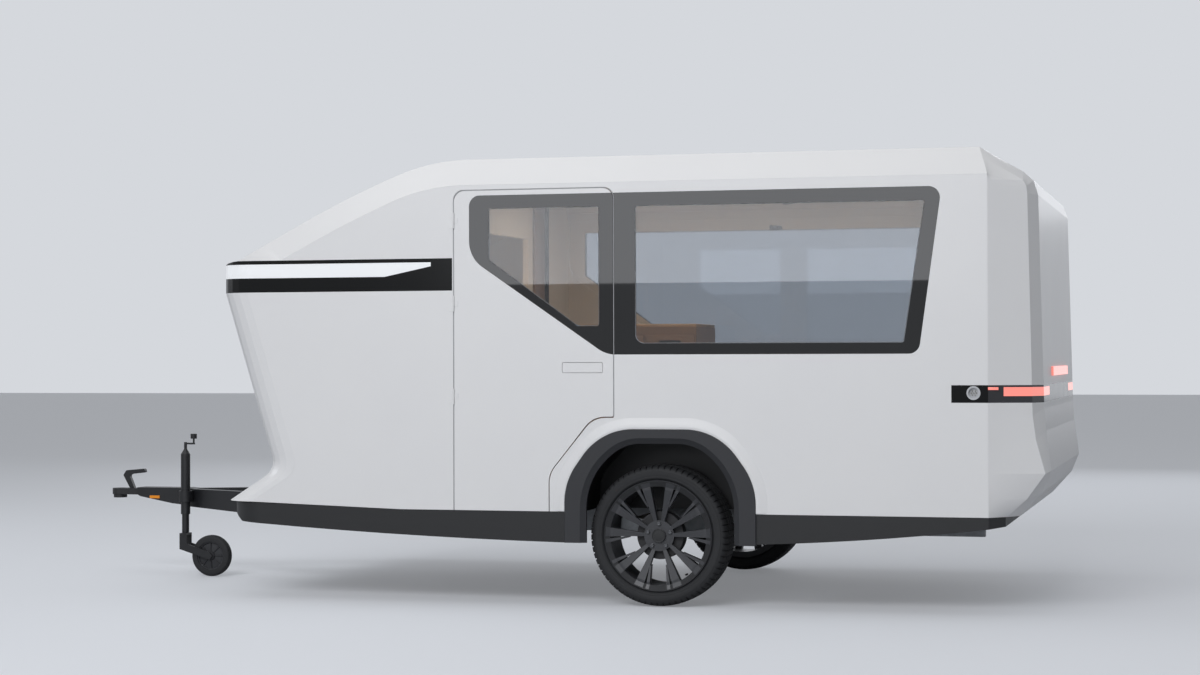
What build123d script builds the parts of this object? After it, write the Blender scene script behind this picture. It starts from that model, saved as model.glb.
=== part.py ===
from build123d import *
import math
import os

os.makedirs("parts", exist_ok=True)

# Overall sizes in millimetres. Reaches are measured ahead of or behind the axle,
# heights from the ground. The nose points along -X and the door is on the -Y side.
body_width = 2300
drawbar_reach = 3327
tail_reach = 1803
roof_height = 2117
floor_height = 444
wall = 34
floor_thickness = 40
trim_skin = 14

half_width = body_width / 2
axle_x = (drawbar_reach - tail_reach) / 2
body_height = roof_height - floor_height
inner_side = half_width - wall
floor_top = floor_height + floor_thickness
overrun = 60
seat_gap = 0.3
edge_lip = 2    # how far a panel runs past the crease beside its joint
door_gap = 5

# Nose
nose_reach = 2207
nose_height = 1613
band_low = 1485
band_top = 1641
chin_reach = 2184
chin_height = 470
neck_reach = 1944
neck_height = 625
neck_round = 90
keel_reach = 1250
corner_round = 170

# Roof line: the centre line rises from the nose, the eave line from the top of the front band
cant_width = 130
eave_drop = 132
roof_start_reach = 940
eave_start_reach = 930
eave_brow_reach = 1857
eave_height = roof_height - eave_drop
roof_tail_reach = 1490
eave_tail_reach = 1538
# Columns: share of the run, share of the rise
roof_line_shares = ((0.171, 0.222), (0.321, 0.419), (0.708, 0.861))
eave_line_shares = ((0, 0), (0.126, 0.177), (0.612, 0.788))

# Tail, from the roof down. Columns: reach on the centre line and at the corner crease as shares of
# the tail reach, height there as shares of the body height
crease_depth = 80
tail_shares = (
    (0.934, 0.937, 0.931, 0.905),
    (0.958, 0.945, 0.907, 0.888),
    (0.970, 0.947, 0.868, 0.868),
    (0.983, 0.958, 0.291, 0.273),
    (0.987, 0.966, 0.231, 0.207),
    (1.000, 0.989, 0.123, 0.117),
    (0.979, 0.943, 0.067, 0.048),
    (0.923, 0.894, 0.000, 0.000),
)


def mix(start, end, share):
    return start + (end - start) * share


def fore(reach):
    return axle_x - reach


def aft(reach):
    return axle_x + reach


def corner_arc(before, corner, after, radius):
    """Start, middle and end of the arc that rounds a corner of an outline."""
    corner = Vector(*corner)
    to_before = (Vector(*before) - corner).normalized()
    to_after = (Vector(*after) - corner).normalized()
    half_angle = math.radians(to_before.get_angle(to_after)) / 2
    middle_way = (to_before + to_after).normalized()
    centre = corner + middle_way * (radius / math.sin(half_angle))
    reach = radius / math.tan(half_angle)
    return corner + to_before * reach, centre - middle_way * radius, corner + to_after * reach


def rounded_outline(corners):
    """A closed outline inside a BuildLine block. Each corner is its x, its z and its rounding radius."""
    arcs = []
    for index, (x, z, radius) in enumerate(corners):
        before = corners[index - 1][:2]
        after = corners[(index + 1) % len(corners)][:2]
        arcs.append(corner_arc(before, (x, z), after, radius) if radius else (Vector(x, z),) * 3)
    for index, (start, middle, end) in enumerate(arcs):
        if start != end:
            ThreePointArc(start, middle, end)
        Line(end, arcs[(index + 1) % len(arcs)][0])


def side_prism(corners, near, far):
    """A solid with a rounded outline seen from the side, from y = near to y = far."""
    with BuildPart() as prism:
        with BuildSketch(Plane.XZ.offset(-near)):
            with BuildLine():
                rounded_outline(corners)
            make_face()
        extrude(amount=near - far)
    return prism.part


def block(low, high):
    """A plain block between two opposite corners."""
    with BuildPart() as solid:
        with BuildSketch(Plane.XY.offset(low[2])):
            with Locations(((low[0] + high[0]) / 2, (low[1] + high[1]) / 2)):
                Rectangle(high[0] - low[0], high[1] - low[1])
        extrude(amount=high[2] - low[2])
    return solid.part


def save(builder, name):
    """Label a finished piece and write it out."""
    builder.part.label = name
    export_step(builder.part, f"parts/{name}.step")


def roof_points(eave_share, skin):
    """Brow, slope end, haunch and flat roof's start, between centre line and eave."""
    centre_run = nose_reach - roof_start_reach
    centre_rise = roof_height - nose_height
    eave_run = eave_brow_reach - eave_start_reach
    eave_rise = eave_height - band_top
    points = []
    for (run, rise), (eave_run_share, eave_rise_share) in zip(roof_line_shares, eave_line_shares):
        x = mix(fore(nose_reach - centre_run * run), fore(eave_brow_reach - eave_run * eave_run_share), eave_share)
        z = mix(nose_height + centre_rise * rise, band_top + eave_rise * eave_rise_share, eave_share)
        points.append((x, z - skin))
    start_x = mix(fore(roof_start_reach), fore(eave_start_reach), eave_share)
    points.append((start_x, mix(roof_height, eave_height, eave_share) - skin))
    return points


def tail_points(depth, skin):
    """The tail's outline from the cap down, at a depth in from the side."""
    crease = min(1, depth / crease_depth)
    bow = max(0, (depth - crease_depth) / (corner_round - skin - crease_depth))
    points = []
    for centre_x, crease_x, centre_z, crease_z in tail_shares:
        reach = mix(mix(eave_tail_reach + skin, tail_reach * crease_x, crease), tail_reach * centre_x, min(1, bow))
        height = floor_height + (body_height - skin) * mix(crease_z, centre_z, min(1, bow))
        points.append((aft(reach - skin), height))
    return points


def body_outline(depth, skin):
    """One section of the body, parallel to its side. Its straight runs stay apart, so that all match."""
    round_radius = corner_round - skin
    cant = cant_width - skin * (2 - math.sqrt(2))
    from_centre = max(0, round_radius - depth)
    nose_in = round_radius - math.sqrt(round_radius**2 - from_centre**2)
    eave_share = max(0, 1 - depth / cant)
    nose_x = fore(nose_reach) + skin + nose_in
    neck_x = fore(neck_reach) + skin + nose_in
    nose_top = mix(nose_height, band_top, eave_share) - skin
    roof = roof_points(eave_share, skin)
    tail_x = aft(mix(roof_tail_reach, eave_tail_reach, eave_share))
    tail = tail_points(depth, skin)
    if skin:
        tail[-1] = (tail[-1][0], floor_top)
        tail[-2] = (tail[-2][0], floor_top + skin)
        chin = (neck_x, floor_top)
        keel = (fore(keel_reach), floor_top)
    else:
        chin = (fore(chin_reach) + nose_in, chin_height)
        keel = (fore(keel_reach), floor_height)
    nose_foot = (nose_x, band_low)
    neck_start, neck_middle, neck_end = corner_arc(chin, (neck_x, neck_height), nose_foot, neck_round)
    slope = Line(roof[0], roof[1])
    shoulder = TangentArc(roof[1], roof[2], tangent=slope % 1)
    brow = TangentArc(roof[2], roof[3], tangent=shoulder % 1)
    neck = ThreePointArc(neck_start, neck_middle, neck_end)
    nose = [neck_end, nose_foot, (nose_x, nose_top), roof[0]]
    rest = [roof[3], (tail_x, roof[3][1]), *tail, keel, chin, neck_start]
    lines = [Line(*ends) for ends in [*zip(nose, nose[1:]), *zip(rest, rest[1:])]]
    return Wire([neck, slope, shoulder, brow, *lines])


def body_depths(skin):
    """Depths of the sections in from the side: the corner's turn, the cant and the crease."""
    round_radius = corner_round - skin
    cant = cant_width - skin * (2 - math.sqrt(2))
    turns = (0, 45, 60, 75, 90)
    depths = {round_radius * (1 - math.sin(math.radians(turn))) for turn in turns}
    return sorted(depths | {cant, crease_depth})


def body_sections(skin):
    """Sections of the body's form, from the door side to the far side."""
    side = half_width - skin
    depths = body_depths(skin)
    sections = []
    for depth, place in [(d, side - d) for d in depths] + [(d, d - side) for d in reversed(depths)]:
        sections.append(Plane.XZ.offset(place) * Face(body_outline(depth, skin)))
    return sections


with BuildPart() as outer_form:
    loft(body_sections(0), ruled=True)

with BuildPart() as inner_form:
    loft(body_sections(wall), ruled=True)

with BuildPart() as shell:
    add(outer_form.part)
    add(inner_form.part, mode=Mode.SUBTRACT)

with BuildPart() as trim_form:
    loft(body_sections(trim_skin), ruled=True)

with BuildPart() as skin_shell:
    add(outer_form.part)
    add(trim_form.part, mode=Mode.SUBTRACT)


# Where the shell is split into its panels
front_end = fore(max(nose_reach, chin_reach)) - overrun
rear_end = aft(tail_reach) + overrun
out = half_width + overrun
cap_foot_reach = 1704
cap_foot_drop = 52
cap_foot_height = eave_height - cap_foot_drop
rear_band_reach = 1374
rear_band_low = 958
rear_band_top = 1037
door_front_reach = 980
seam_x = aft(eave_tail_reach) - edge_lip
eave = roof_points(1, edge_lip)

eave_slope = Line(eave[0], eave[1])
eave_haunch = TangentArc(eave[1], eave[2], tangent=eave_slope % 1)
eave_crown = TangentArc(eave[2], eave[3], tangent=eave_haunch % 1)
above_eave = Polyline(
    eave[3],
    (seam_x, eave_height - edge_lip),
    (seam_x, roof_height + overrun),
    (front_end, roof_height + overrun),
    (front_end, band_top - edge_lip),
    eave[0],
)

with BuildPart() as roof_space:
    roof_outline = Face(Wire([eave_slope, eave_haunch, eave_crown, *above_eave.edges()]))
    extrude(Plane.XZ * roof_outline, amount=out, both=True)

cap_space = side_prism(
    [
        (seam_x, roof_height + overrun, 0),
        (seam_x, eave_height - edge_lip, 0),
        (aft(cap_foot_reach), cap_foot_height, 0),
        (rear_end, cap_foot_height, 0),
        (rear_end, roof_height + overrun, 0),
    ],
    -out,
    out,
)
nose_space = side_prism(
    [
        (front_end, band_low, 0),
        (fore(nose_reach) + corner_round + edge_lip, band_low, 0),
        (fore(neck_reach) + corner_round + edge_lip, neck_height, neck_round),
        (fore(chin_reach) + corner_round + edge_lip, chin_height, 0),
        (fore(chin_reach) + corner_round + edge_lip, floor_height - overrun, 0),
        (front_end, floor_height - overrun, 0),
    ],
    -out,
    out,
)
band_end = fore(door_front_reach) - door_gap
front_band_space = block((front_end, -out, band_low), (band_end, out, band_top - edge_lip))
rear_band_space = block((aft(rear_band_reach), -out, rear_band_low), (rear_end, out, rear_band_top))
tail_space = block((seam_x, -out, floor_height - overrun), (rear_end, out, roof_height + overrun))

# Doorway and door
door_rear_reach = 190
door_top = 1962
door_round = 50
arch_cut_height = 884
arch_cut_reach = 290
arch_cut_round = 120
door_foot_reach = 505
door_foot_height = 620


def door_outline(gap):
    """The door's outline, drawn in from its opening by a gap."""
    return [
        (fore(door_front_reach) + gap, floor_height, 0),
        (fore(door_front_reach) + gap, door_top - gap, door_round),
        (fore(door_rear_reach) - gap, door_top - gap, door_round),
        (fore(door_rear_reach) - gap, arch_cut_height + gap, door_round / 5),
        (fore(arch_cut_reach) - gap, arch_cut_height + gap, arch_cut_round),
        (fore(door_foot_reach) - gap, door_foot_height, arch_cut_round),
        (fore(door_foot_reach) - gap, floor_height, 0),
    ]


door_space = side_prism(door_outline(0), -out, -inner_side + overrun)
leaf_space = side_prism(door_outline(door_gap), -out, -inner_side + overrun)

# Lamps and the charging inlet in the two bands
front_lamp_low = 1554
front_lamp_top = 1621
front_lamp_tip = 1602
front_lamp_turn_reach = 1326
front_lamp_end_reach = 1092
tail_lamp_reach = 1604
tail_lamp_low = 988
tail_lamp_top = 1028
tail_lamp_side = 640
inlet_reach = 1473
inlet_height = 1002
inlet_radius = 31
inlet_proud = 4
socket_radius = 23
socket_depth = 14
rear_lamp_side = 490
rear_lamp_low = 1075
rear_lamp_top = 1118
rear_lamp_proud = 10

# Windows: the black frame's outline and the clear pane's, the same on both sides but for the door
frame_front_reach = 900
frame_top = 1934
frame_low = 1179
frame_elbow_height = 1640
frame_turn_reach = 229
frame_foot_reach = 1228
frame_head_reach = 1334
pane_front_reach = 89
pane_low = 1230
pane_top = 1872
pane_foot_reach = 1162
pane_head_reach = 1258
door_pane_front_reach = 805
door_pane_rear_reach = 262
door_pane_low = 1313
door_pane_elbow = 1629
door_pane_turn_reach = 366
far_front_shift = 150

frame_round = 52
frame_long_round = 150
pane_round = 12
pane_long_round = 45


def frame_corners(shift):
    """The black frame's outline. Its sloping front edge is shifted forward on the far side."""
    return [
        (fore(frame_front_reach + shift), frame_low + (frame_elbow_height - frame_low), frame_long_round),
        (fore(frame_turn_reach + shift), frame_low, frame_long_round),
        (aft(frame_foot_reach), frame_low, frame_round),
        (aft(frame_head_reach), frame_top, frame_round),
        (fore(frame_front_reach + shift), frame_top, frame_round),
    ]


near_pane_corners = [
    (fore(pane_front_reach), pane_low, pane_long_round),
    (aft(pane_foot_reach), pane_low, pane_round),
    (aft(pane_head_reach), pane_top, pane_round),
    (fore(pane_front_reach), pane_top, pane_round),
]
door_pane_corners = [
    (fore(door_pane_front_reach), door_pane_elbow, pane_round),
    (fore(door_pane_turn_reach), door_pane_low, pane_long_round),
    (fore(door_pane_rear_reach), door_pane_low, pane_round),
    (fore(door_pane_rear_reach), pane_top, pane_round),
    (fore(door_pane_front_reach), pane_top, pane_round),
]
slope_share = (door_pane_elbow - pane_low) / (door_pane_elbow - door_pane_low)
far_pane_turn_reach = far_front_shift + mix(door_pane_front_reach, door_pane_turn_reach, slope_share)
far_pane_corners = [
    (fore(door_pane_front_reach + far_front_shift), door_pane_elbow, pane_round),
    (fore(far_pane_turn_reach), pane_low, pane_long_round),
    (aft(pane_foot_reach), pane_low, pane_round),
    (aft(pane_head_reach), pane_top, pane_round),
    (fore(door_pane_front_reach + far_front_shift), pane_top, pane_round),
]
frame_depth = 26
glass_thickness = 5

near_frame_space = side_prism(frame_corners(0), -out, -inner_side + overrun)
far_frame_space = side_prism(frame_corners(far_front_shift), inner_side - overrun, out)

# Wheel arches
arch_centre = 24
arch_foot = 299
arch_outer_half = 456
arch_top = 832
arch_inner_half = 348
arch_inner_top = 752
arch_round = 160
liner = 6


def arch_corners(half, top, foot, spread):
    """An arch's outline, from foot to foot, pushed out by a spread."""
    side = half + spread
    knee_height = mix(floor_height, top, 0.43) + spread
    crown = half * 0.56 + spread / 2
    height = top + spread
    return [
        (aft(arch_centre) - side, foot, 0),
        (aft(arch_centre) - side, knee_height, arch_round),
        (aft(arch_centre) - crown, height, arch_round),
        (aft(arch_centre) + crown, height, arch_round),
        (aft(arch_centre) + side, knee_height, arch_round),
        (aft(arch_centre) + side, foot, 0),
    ]


arch_space = side_prism(arch_corners(arch_outer_half, arch_top, floor_height - overrun, 0), -out, out)

# Body panels
with BuildPart() as roof:
    add(shell.part)
    add(roof_space.part, mode=Mode.INTERSECT)
save(roof, "roof")

with BuildPart() as rear_cap:
    add(shell.part)
    add(cap_space, mode=Mode.INTERSECT)
save(rear_cap, "rear_cap")

with BuildPart() as nose_panel:
    add(shell.part)
    add(nose_space, mode=Mode.INTERSECT)
save(nose_panel, "nose_panel")

front_lamp_space = side_prism(
    [
        (front_end, front_lamp_low, 0),
        (fore(front_lamp_turn_reach), front_lamp_low, 0),
        (fore(front_lamp_end_reach), front_lamp_tip, 0),
        (fore(front_lamp_end_reach), front_lamp_top, 0),
        (front_end, front_lamp_top, 0),
    ],
    -out,
    out,
)
with BuildPart() as front_lamp:
    add(skin_shell.part)
    add(front_lamp_space, mode=Mode.INTERSECT)
save(front_lamp, "front_lamp")

with BuildPart() as front_band:
    add(shell.part)
    add(front_band_space, mode=Mode.INTERSECT)
    add(front_lamp.part, mode=Mode.SUBTRACT)
    add(far_frame_space, mode=Mode.SUBTRACT)
save(front_band, "front_band")

with BuildPart() as tail_lamps:
    add(skin_shell.part)
    add(
        block((aft(tail_lamp_reach), -out, tail_lamp_low), (rear_end, out, tail_lamp_top)),
        mode=Mode.INTERSECT,
    )
    add(
        block(
            (aft(tail_lamp_reach) - overrun, -tail_lamp_side, tail_lamp_low),
            (rear_end, tail_lamp_side, tail_lamp_top),
        ),
        mode=Mode.SUBTRACT,
    )
save(tail_lamps, "tail_lamps")

with BuildPart() as inlet_space:
    with BuildSketch(Plane.XZ.offset(half_width + inlet_proud)):
        with Locations((aft(inlet_reach), inlet_height)):
            Circle(inlet_radius)
    extrude(amount=-inlet_proud - trim_skin)

with BuildPart() as rear_band:
    add(skin_shell.part)
    add(rear_band_space, mode=Mode.INTERSECT)
    add(tail_lamps.part, mode=Mode.SUBTRACT)
    add(inlet_space.part, mode=Mode.SUBTRACT)
save(rear_band, "rear_band")

with BuildPart() as charging_inlet:
    add(inlet_space.part)
    with BuildSketch(Plane.XZ.offset(half_width + inlet_proud)):
        with Locations((aft(inlet_reach), inlet_height)):
            Circle(socket_radius)
    extrude(amount=-socket_depth, mode=Mode.SUBTRACT)
save(charging_inlet, "charging_inlet")

with BuildPart() as rear_lamp:
    add(Pos(rear_lamp_proud, 0, 0) * skin_shell.part)
    add(
        block((aft(eave_tail_reach), -rear_lamp_side, rear_lamp_low), (rear_end, rear_lamp_side, rear_lamp_top)),
        mode=Mode.INTERSECT,
    )
save(rear_lamp, "rear_lamp")

with BuildPart() as rear_panel:
    add(shell.part)
    add(tail_space, mode=Mode.INTERSECT)
    add(cap_space, mode=Mode.SUBTRACT)
    with BuildPart(mode=Mode.PRIVATE) as skin_band:
        add(skin_shell.part)
        add(rear_band_space, mode=Mode.INTERSECT)
    add(skin_band.part, mode=Mode.SUBTRACT)
    add(rear_lamp.part, mode=Mode.SUBTRACT)
save(rear_panel, "rear_panel")

# Wheels' sizes come first, because the floor and the boxes round the wheels follow them
wheel_radius = 331.5
tyre_width = 225
wheel_inset = 60
box_gap = 55
box_inner = half_width - wheel_inset - tyre_width - box_gap
box_spread = 30
box_space = side_prism(arch_corners(arch_inner_half, arch_inner_top, arch_foot, box_spread), -out, out)

with BuildPart() as floor_panel:
    add(shell.part)
    add(block((front_end, -inner_side, floor_height - overrun), (seam_x, inner_side, floor_top)), mode=Mode.INTERSECT)
    add(nose_space, mode=Mode.SUBTRACT)
    for side in (-1, 1):
        near, far = sorted((side * box_inner, side * out))
        add(
            side_prism(arch_corners(arch_inner_half, arch_inner_top, arch_foot, box_spread), near, far),
            mode=Mode.SUBTRACT,
        )
save(floor_panel, "floor_panel")

for name, side, holes in (
    ("side_wall_left", -1, [door_space, near_frame_space]),
    ("side_wall_right", 1, [far_frame_space]),
):
    near, far = sorted((side * inner_side, side * out))
    with BuildPart() as side_wall:
        add(shell.part)
        add(block((front_end, near, floor_height - overrun), (seam_x, far, roof_height)), mode=Mode.INTERSECT)
        for taken in (roof_space.part, nose_space, front_band_space, skin_band.part, arch_space, *holes):
            add(taken, mode=Mode.SUBTRACT)
    save(side_wall, name)

arch_box_right = side_prism(arch_corners(arch_inner_half, arch_inner_top, 0, box_spread), box_inner, out)


# Door leaf with its window opening, and the slot for its handle
handle_front_reach = 443
handle_rear_reach = 245
handle_top = 1143
handle_low = 1093
handle_depth = 14
handle_gap = 2
outer_face = -half_width
inner_face = -inner_side

with BuildPart() as handle_pocket:
    with BuildSketch(Plane.XZ.offset(half_width + overrun)):
        with Locations((fore((handle_front_reach + handle_rear_reach) / 2), (handle_top + handle_low) / 2)):
            RectangleRounded(handle_front_reach - handle_rear_reach, handle_top - handle_low, handle_gap * 4)
    extrude(amount=-overrun - handle_depth)

with BuildPart() as door:
    add(side_prism(door_outline(door_gap), outer_face, inner_face))
    add(near_frame_space, mode=Mode.SUBTRACT)
    add(handle_pocket.part, mode=Mode.SUBTRACT)
save(door, "door")

with BuildPart() as door_handle:
    with BuildSketch(Plane.XZ.offset(half_width)):
        with Locations((fore((handle_front_reach + handle_rear_reach) / 2), (handle_top + handle_low) / 2)):
            RectangleRounded(
                handle_front_reach - handle_rear_reach - 2 * handle_gap,
                handle_top - handle_low - 2 * handle_gap,
                handle_gap * 3,
            )
    extrude(amount=-handle_depth)
save(door_handle, "door_handle")

# Windows: a black frame let into the wall, and the clear pane within it
for name, shift, face, panes in (
    ("near", 0, outer_face, (near_pane_corners, door_pane_corners)),
    ("far", far_front_shift, half_width, (far_pane_corners,)),
):
    inward = -1 if face > 0 else 1
    near, far = sorted((face, face + inward * frame_depth))
    pane_near, pane_far = sorted((face, face + inward * glass_thickness))
    with BuildPart() as ring:
        add(side_prism(frame_corners(shift), near, far))
        for corners in panes:
            add(side_prism(corners, -out, out), mode=Mode.SUBTRACT)
    if name == "far":
        save(ring, "window_frame_right")
        with BuildPart() as pane:
            add(side_prism(far_pane_corners, pane_near, pane_far))
        save(pane, "window_pane_right")
        continue
    with BuildPart() as window_frame_left:
        add(ring.part)
        add(door_space, mode=Mode.SUBTRACT)
    save(window_frame_left, "window_frame_left")
    with BuildPart() as door_window_frame:
        add(ring.part)
        add(leaf_space, mode=Mode.INTERSECT)
    save(door_window_frame, "door_window_frame")
    with BuildPart() as window_pane_left:
        add(side_prism(near_pane_corners, pane_near, pane_far))
    save(window_pane_left, "window_pane_left")
    with BuildPart() as door_pane:
        add(side_prism(door_pane_corners, pane_near, pane_far))
    save(door_pane, "door_pane")

# Arch trims and the boxes that close the arches inside
trim_proud = 10
trim_depth = 33
with BuildPart() as arch_trims:
    for side in (-1, 1):
        near, far = sorted((side * (half_width + trim_proud), side * (half_width - trim_depth)))
        with BuildPart() as trim:
            add(side_prism(arch_corners(arch_outer_half, arch_top, arch_foot, 0), near, far))
            add(
                side_prism(arch_corners(arch_inner_half, arch_inner_top, arch_foot - overrun, 0), -out * 2, out * 2),
                mode=Mode.SUBTRACT,
            )
        add(trim.part)
save(arch_trims, "arch_trims")

with BuildPart() as wheel_boxes:
    for side in (-1, 1):
        box_outer = side * (half_width - trim_depth)
        near, far = sorted((box_outer, side * box_inner))
        inner_near, inner_far = sorted((side * out, side * (box_inner + liner)))
        with BuildPart() as wheel_box:
            add(side_prism(arch_corners(arch_inner_half, arch_inner_top, floor_height, box_spread), near, far))
            add(
                side_prism(
                    arch_corners(arch_inner_half, arch_inner_top, floor_height - overrun, box_spread - liner),
                    inner_near,
                    inner_far,
                ),
                mode=Mode.SUBTRACT,
            )
        add(wheel_box.part)
save(wheel_boxes, "wheel_boxes")

# Skirts below the body, one ahead of the arches and one behind them
skirt_thickness = 28
skirt_front_reach = 2150
skirt_front_foot = 373
skirt_mid_reach = 1251
skirt_mid_foot = 324
skirt_rear_mid_reach = 1138
skirt_rear_mid_foot = 348
skirt_rear_reach = 1606
skirt_rear_foot = 400
skirt_lean = 8
skirt_low = arch_foot - 2 * liner


def plan_outline(inset):
    """The skirt's outline seen from above, with its rounded front and tapered rear corners."""
    side = half_width - inset
    return [
        (fore(skirt_front_reach) + inset, side, corner_round - inset),
        (aft(eave_tail_reach), side, 0),
        (aft(skirt_rear_reach) - inset, side - crease_depth, 0),
        (aft(skirt_rear_reach) - inset, crease_depth - side, 0),
        (aft(eave_tail_reach), -side, 0),
        (fore(skirt_front_reach) + inset, -side, corner_round - inset),
    ]


with BuildPart() as skirt_ring:
    with BuildSketch(Plane.XY.offset(floor_height + skirt_thickness)):
        with BuildLine():
            rounded_outline(plan_outline(0))
        make_face()
        with BuildLine():
            rounded_outline(plan_outline(skirt_thickness))
        make_face(mode=Mode.SUBTRACT)
    extrude(amount=skirt_low - floor_height - skirt_thickness)

with BuildPart() as skirt_profile:
    with BuildSketch(Plane.XZ.offset(out)):
        with BuildLine():
            front_foot = (fore(skirt_front_reach) + skirt_front_foot / 5, skirt_front_foot)
            arch_front = (aft(arch_centre) - arch_outer_half, arch_foot)
            arch_rear = (aft(arch_centre) + arch_outer_half, arch_foot + liner)
            ThreePointArc(front_foot, (fore(skirt_mid_reach), skirt_mid_foot), arch_front)
            Line(arch_front, arch_rear)
            ThreePointArc(arch_rear, (aft(skirt_rear_mid_reach), skirt_rear_mid_foot), (aft(skirt_rear_reach), skirt_rear_foot))
            Polyline(
                (aft(skirt_rear_reach), skirt_rear_foot),
                (rear_end, floor_height),
                (aft(eave_tail_reach), floor_height),
                (fore(keel_reach), floor_height),
                (fore(chin_reach), chin_height),
                (fore(chin_reach) - skirt_thickness, chin_height),
                front_foot,
            )
        make_face()
    extrude(amount=-2 * out)

leg_spread = 25
leg_width = 50
leg_depth = 93
leg_root_depth = 128
leg_top = 462
leg_root_reach = 2079
nose_beam_reach = 2872
nose_beam_half = 50
rail_side = 420
apron_gap = 6
leg_root_side = nose_beam_half + (nose_beam_reach - leg_root_reach) * math.tan(math.radians(leg_spread))


def leg_plane(side):
    """A plane that stands along one leg of the drawbar."""
    along = math.radians(leg_spread)
    return Plane(
        origin=(fore(nose_beam_reach), side * (nose_beam_half - leg_width / 2), 0),
        x_dir=(math.cos(along), side * math.sin(along), 0),
        z_dir=(side * math.sin(along), -math.cos(along), 0),
    )


def drawbar_leg(side, grow):
    """One leg, deeper towards the body, grown by a gap where it is cut from the skirt."""
    length = (nose_beam_reach - leg_root_reach) / math.cos(math.radians(leg_spread))
    with BuildPart() as leg:
        with BuildSketch(leg_plane(side)):
            with BuildLine():
                Polyline(
                    (0, leg_top - leg_depth - grow),
                    (length, leg_top - leg_root_depth - grow),
                    (length, leg_top + grow),
                    (0, leg_top + grow),
                    close=True,
                )
            make_face()
        extrude(amount=leg_width / 2 + grow, both=True)
    return leg.part


with BuildPart() as skirts:
    add(skirt_ring.part)
    add(skirt_profile.part, mode=Mode.INTERSECT)
    add(
        block(
            (aft(arch_centre) - arch_outer_half, -out, 0),
            (aft(arch_centre) + arch_outer_half, out, floor_height + skirt_thickness),
        ),
        mode=Mode.SUBTRACT,
    )
    for side in (-1, 1):
        add(drawbar_leg(side, apron_gap), mode=Mode.SUBTRACT)
for name, near, far in (("front_skirt", front_end, axle_x), ("rear_skirt", axle_x, rear_end)):
    with BuildPart() as skirt:
        add(skirts.part)
        add(block((near, -out, 0), (far, out, roof_height)), mode=Mode.INTERSECT)
    save(skirt, name)

# Chassis
rail_low = 305
rail_width = 50
rail_rear_reach = 1450
cross_place_shares = (0.01, 0.33, 0.77, 0.98)
cross_width = 60
cross_depth = 90
axle_set_back = -150
axle_tube_height = 362
axle_tube_radius = 45
hub_face = -34
hub_depth = 26
drum_radius = 112
drum_depth = 62
arm_depth = 36
backplate = 8
arm_top = hub_face - hub_depth - drum_depth - door_gap
axle_end = half_width - wheel_inset + arm_top - backplate - arm_depth
with BuildPart() as chassis_rails:
    for side in (-1, 1):
        add(
            block(
                (fore(leg_root_reach), side * rail_side - rail_width / 2, rail_low),
                (aft(rail_rear_reach), side * rail_side + rail_width / 2, floor_height),
            )
        )
    for share in cross_place_shares:
        cross_x = mix(fore(leg_root_reach), aft(rail_rear_reach), share)
        add(
            block(
                (cross_x - cross_width / 2, -rail_side, floor_height - cross_depth),
                (cross_x + cross_width / 2, rail_side, floor_height),
            )
        )
    with BuildSketch(Plane.XZ.offset(-out)):
        with Locations((aft(axle_set_back), axle_tube_height)):
            Circle(axle_tube_radius)
    extrude(amount=2 * out, mode=Mode.SUBTRACT)
save(chassis_rails, "chassis_rails")

with BuildPart() as axle_beam:
    with BuildSketch(Plane.XZ.offset(axle_end)):
        with Locations((aft(axle_set_back), axle_tube_height)):
            Circle(axle_tube_radius)
    extrude(amount=-2 * axle_end)
save(axle_beam, "axle_beam")

# Drawbar: a nose beam that deepens rearward and two legs
head_reach = 3160
beam_top = 466
with BuildPart() as drawbar_frame:
    with BuildSketch(Plane.XZ.offset(nose_beam_half)):
        with BuildLine():
            Polyline(
                (fore(head_reach), beam_top),
                (fore(head_reach), 428),
                (fore(3142), 418),
                (fore(2952), 382),
                (fore(nose_beam_reach) + leg_width, leg_top - leg_depth),
                (fore(nose_beam_reach) + leg_width, leg_top),
                (fore(nose_beam_reach), beam_top),
                close=True,
            )
        make_face()
    extrude(amount=-2 * nose_beam_half)
    for side in (-1, 1):
        add(drawbar_leg(side, 0))
    add(block((fore(leg_root_reach), -out, 0), (rear_end, out, roof_height)), mode=Mode.SUBTRACT)
save(drawbar_frame, "drawbar_frame")

# Coupling head, with the ball's socket open below
ball_radius = 25
ball_reach = 3285
head_low = 408
head_top = 459
head_half = 38
with BuildPart() as coupling_head:
    with BuildSketch(Plane.XY.offset(426)):
        with Locations((fore(ball_reach), 0)):
            Circle(42)
        with Locations(((fore(ball_reach) + fore(head_reach)) / 2, 0)):
            Rectangle(ball_reach - head_reach, 2 * head_half)
    extrude(amount=head_top - 426)
    with BuildSketch(Plane.XY.offset(head_low)):
        with Locations((fore(ball_reach), 0)):
            Circle(36)
    extrude(amount=20)
    with BuildSketch(Plane.XY.offset(head_low)):
        with Locations((fore(ball_reach), 0)):
            Circle(ball_radius + 0.2)
    extrude(amount=24, mode=Mode.SUBTRACT)
save(coupling_head, "coupling_head")

with BuildPart() as coupling_lever:
    with BuildSketch(Plane.XZ.offset(12)):
        with BuildLine():
            rounded_outline(
                [
                    (fore(3222), head_top, 0),
                    (fore(3262), 530, 8),
                    (fore(3245), 556, 10),
                    (fore(3136), 566, 8),
                    (fore(3130), 545, 8),
                    (fore(3228), 534, 12),
                    (fore(3196), head_top, 0),
                ]
            )
        make_face()
    extrude(amount=-24)
save(coupling_lever, "coupling_lever")

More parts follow.
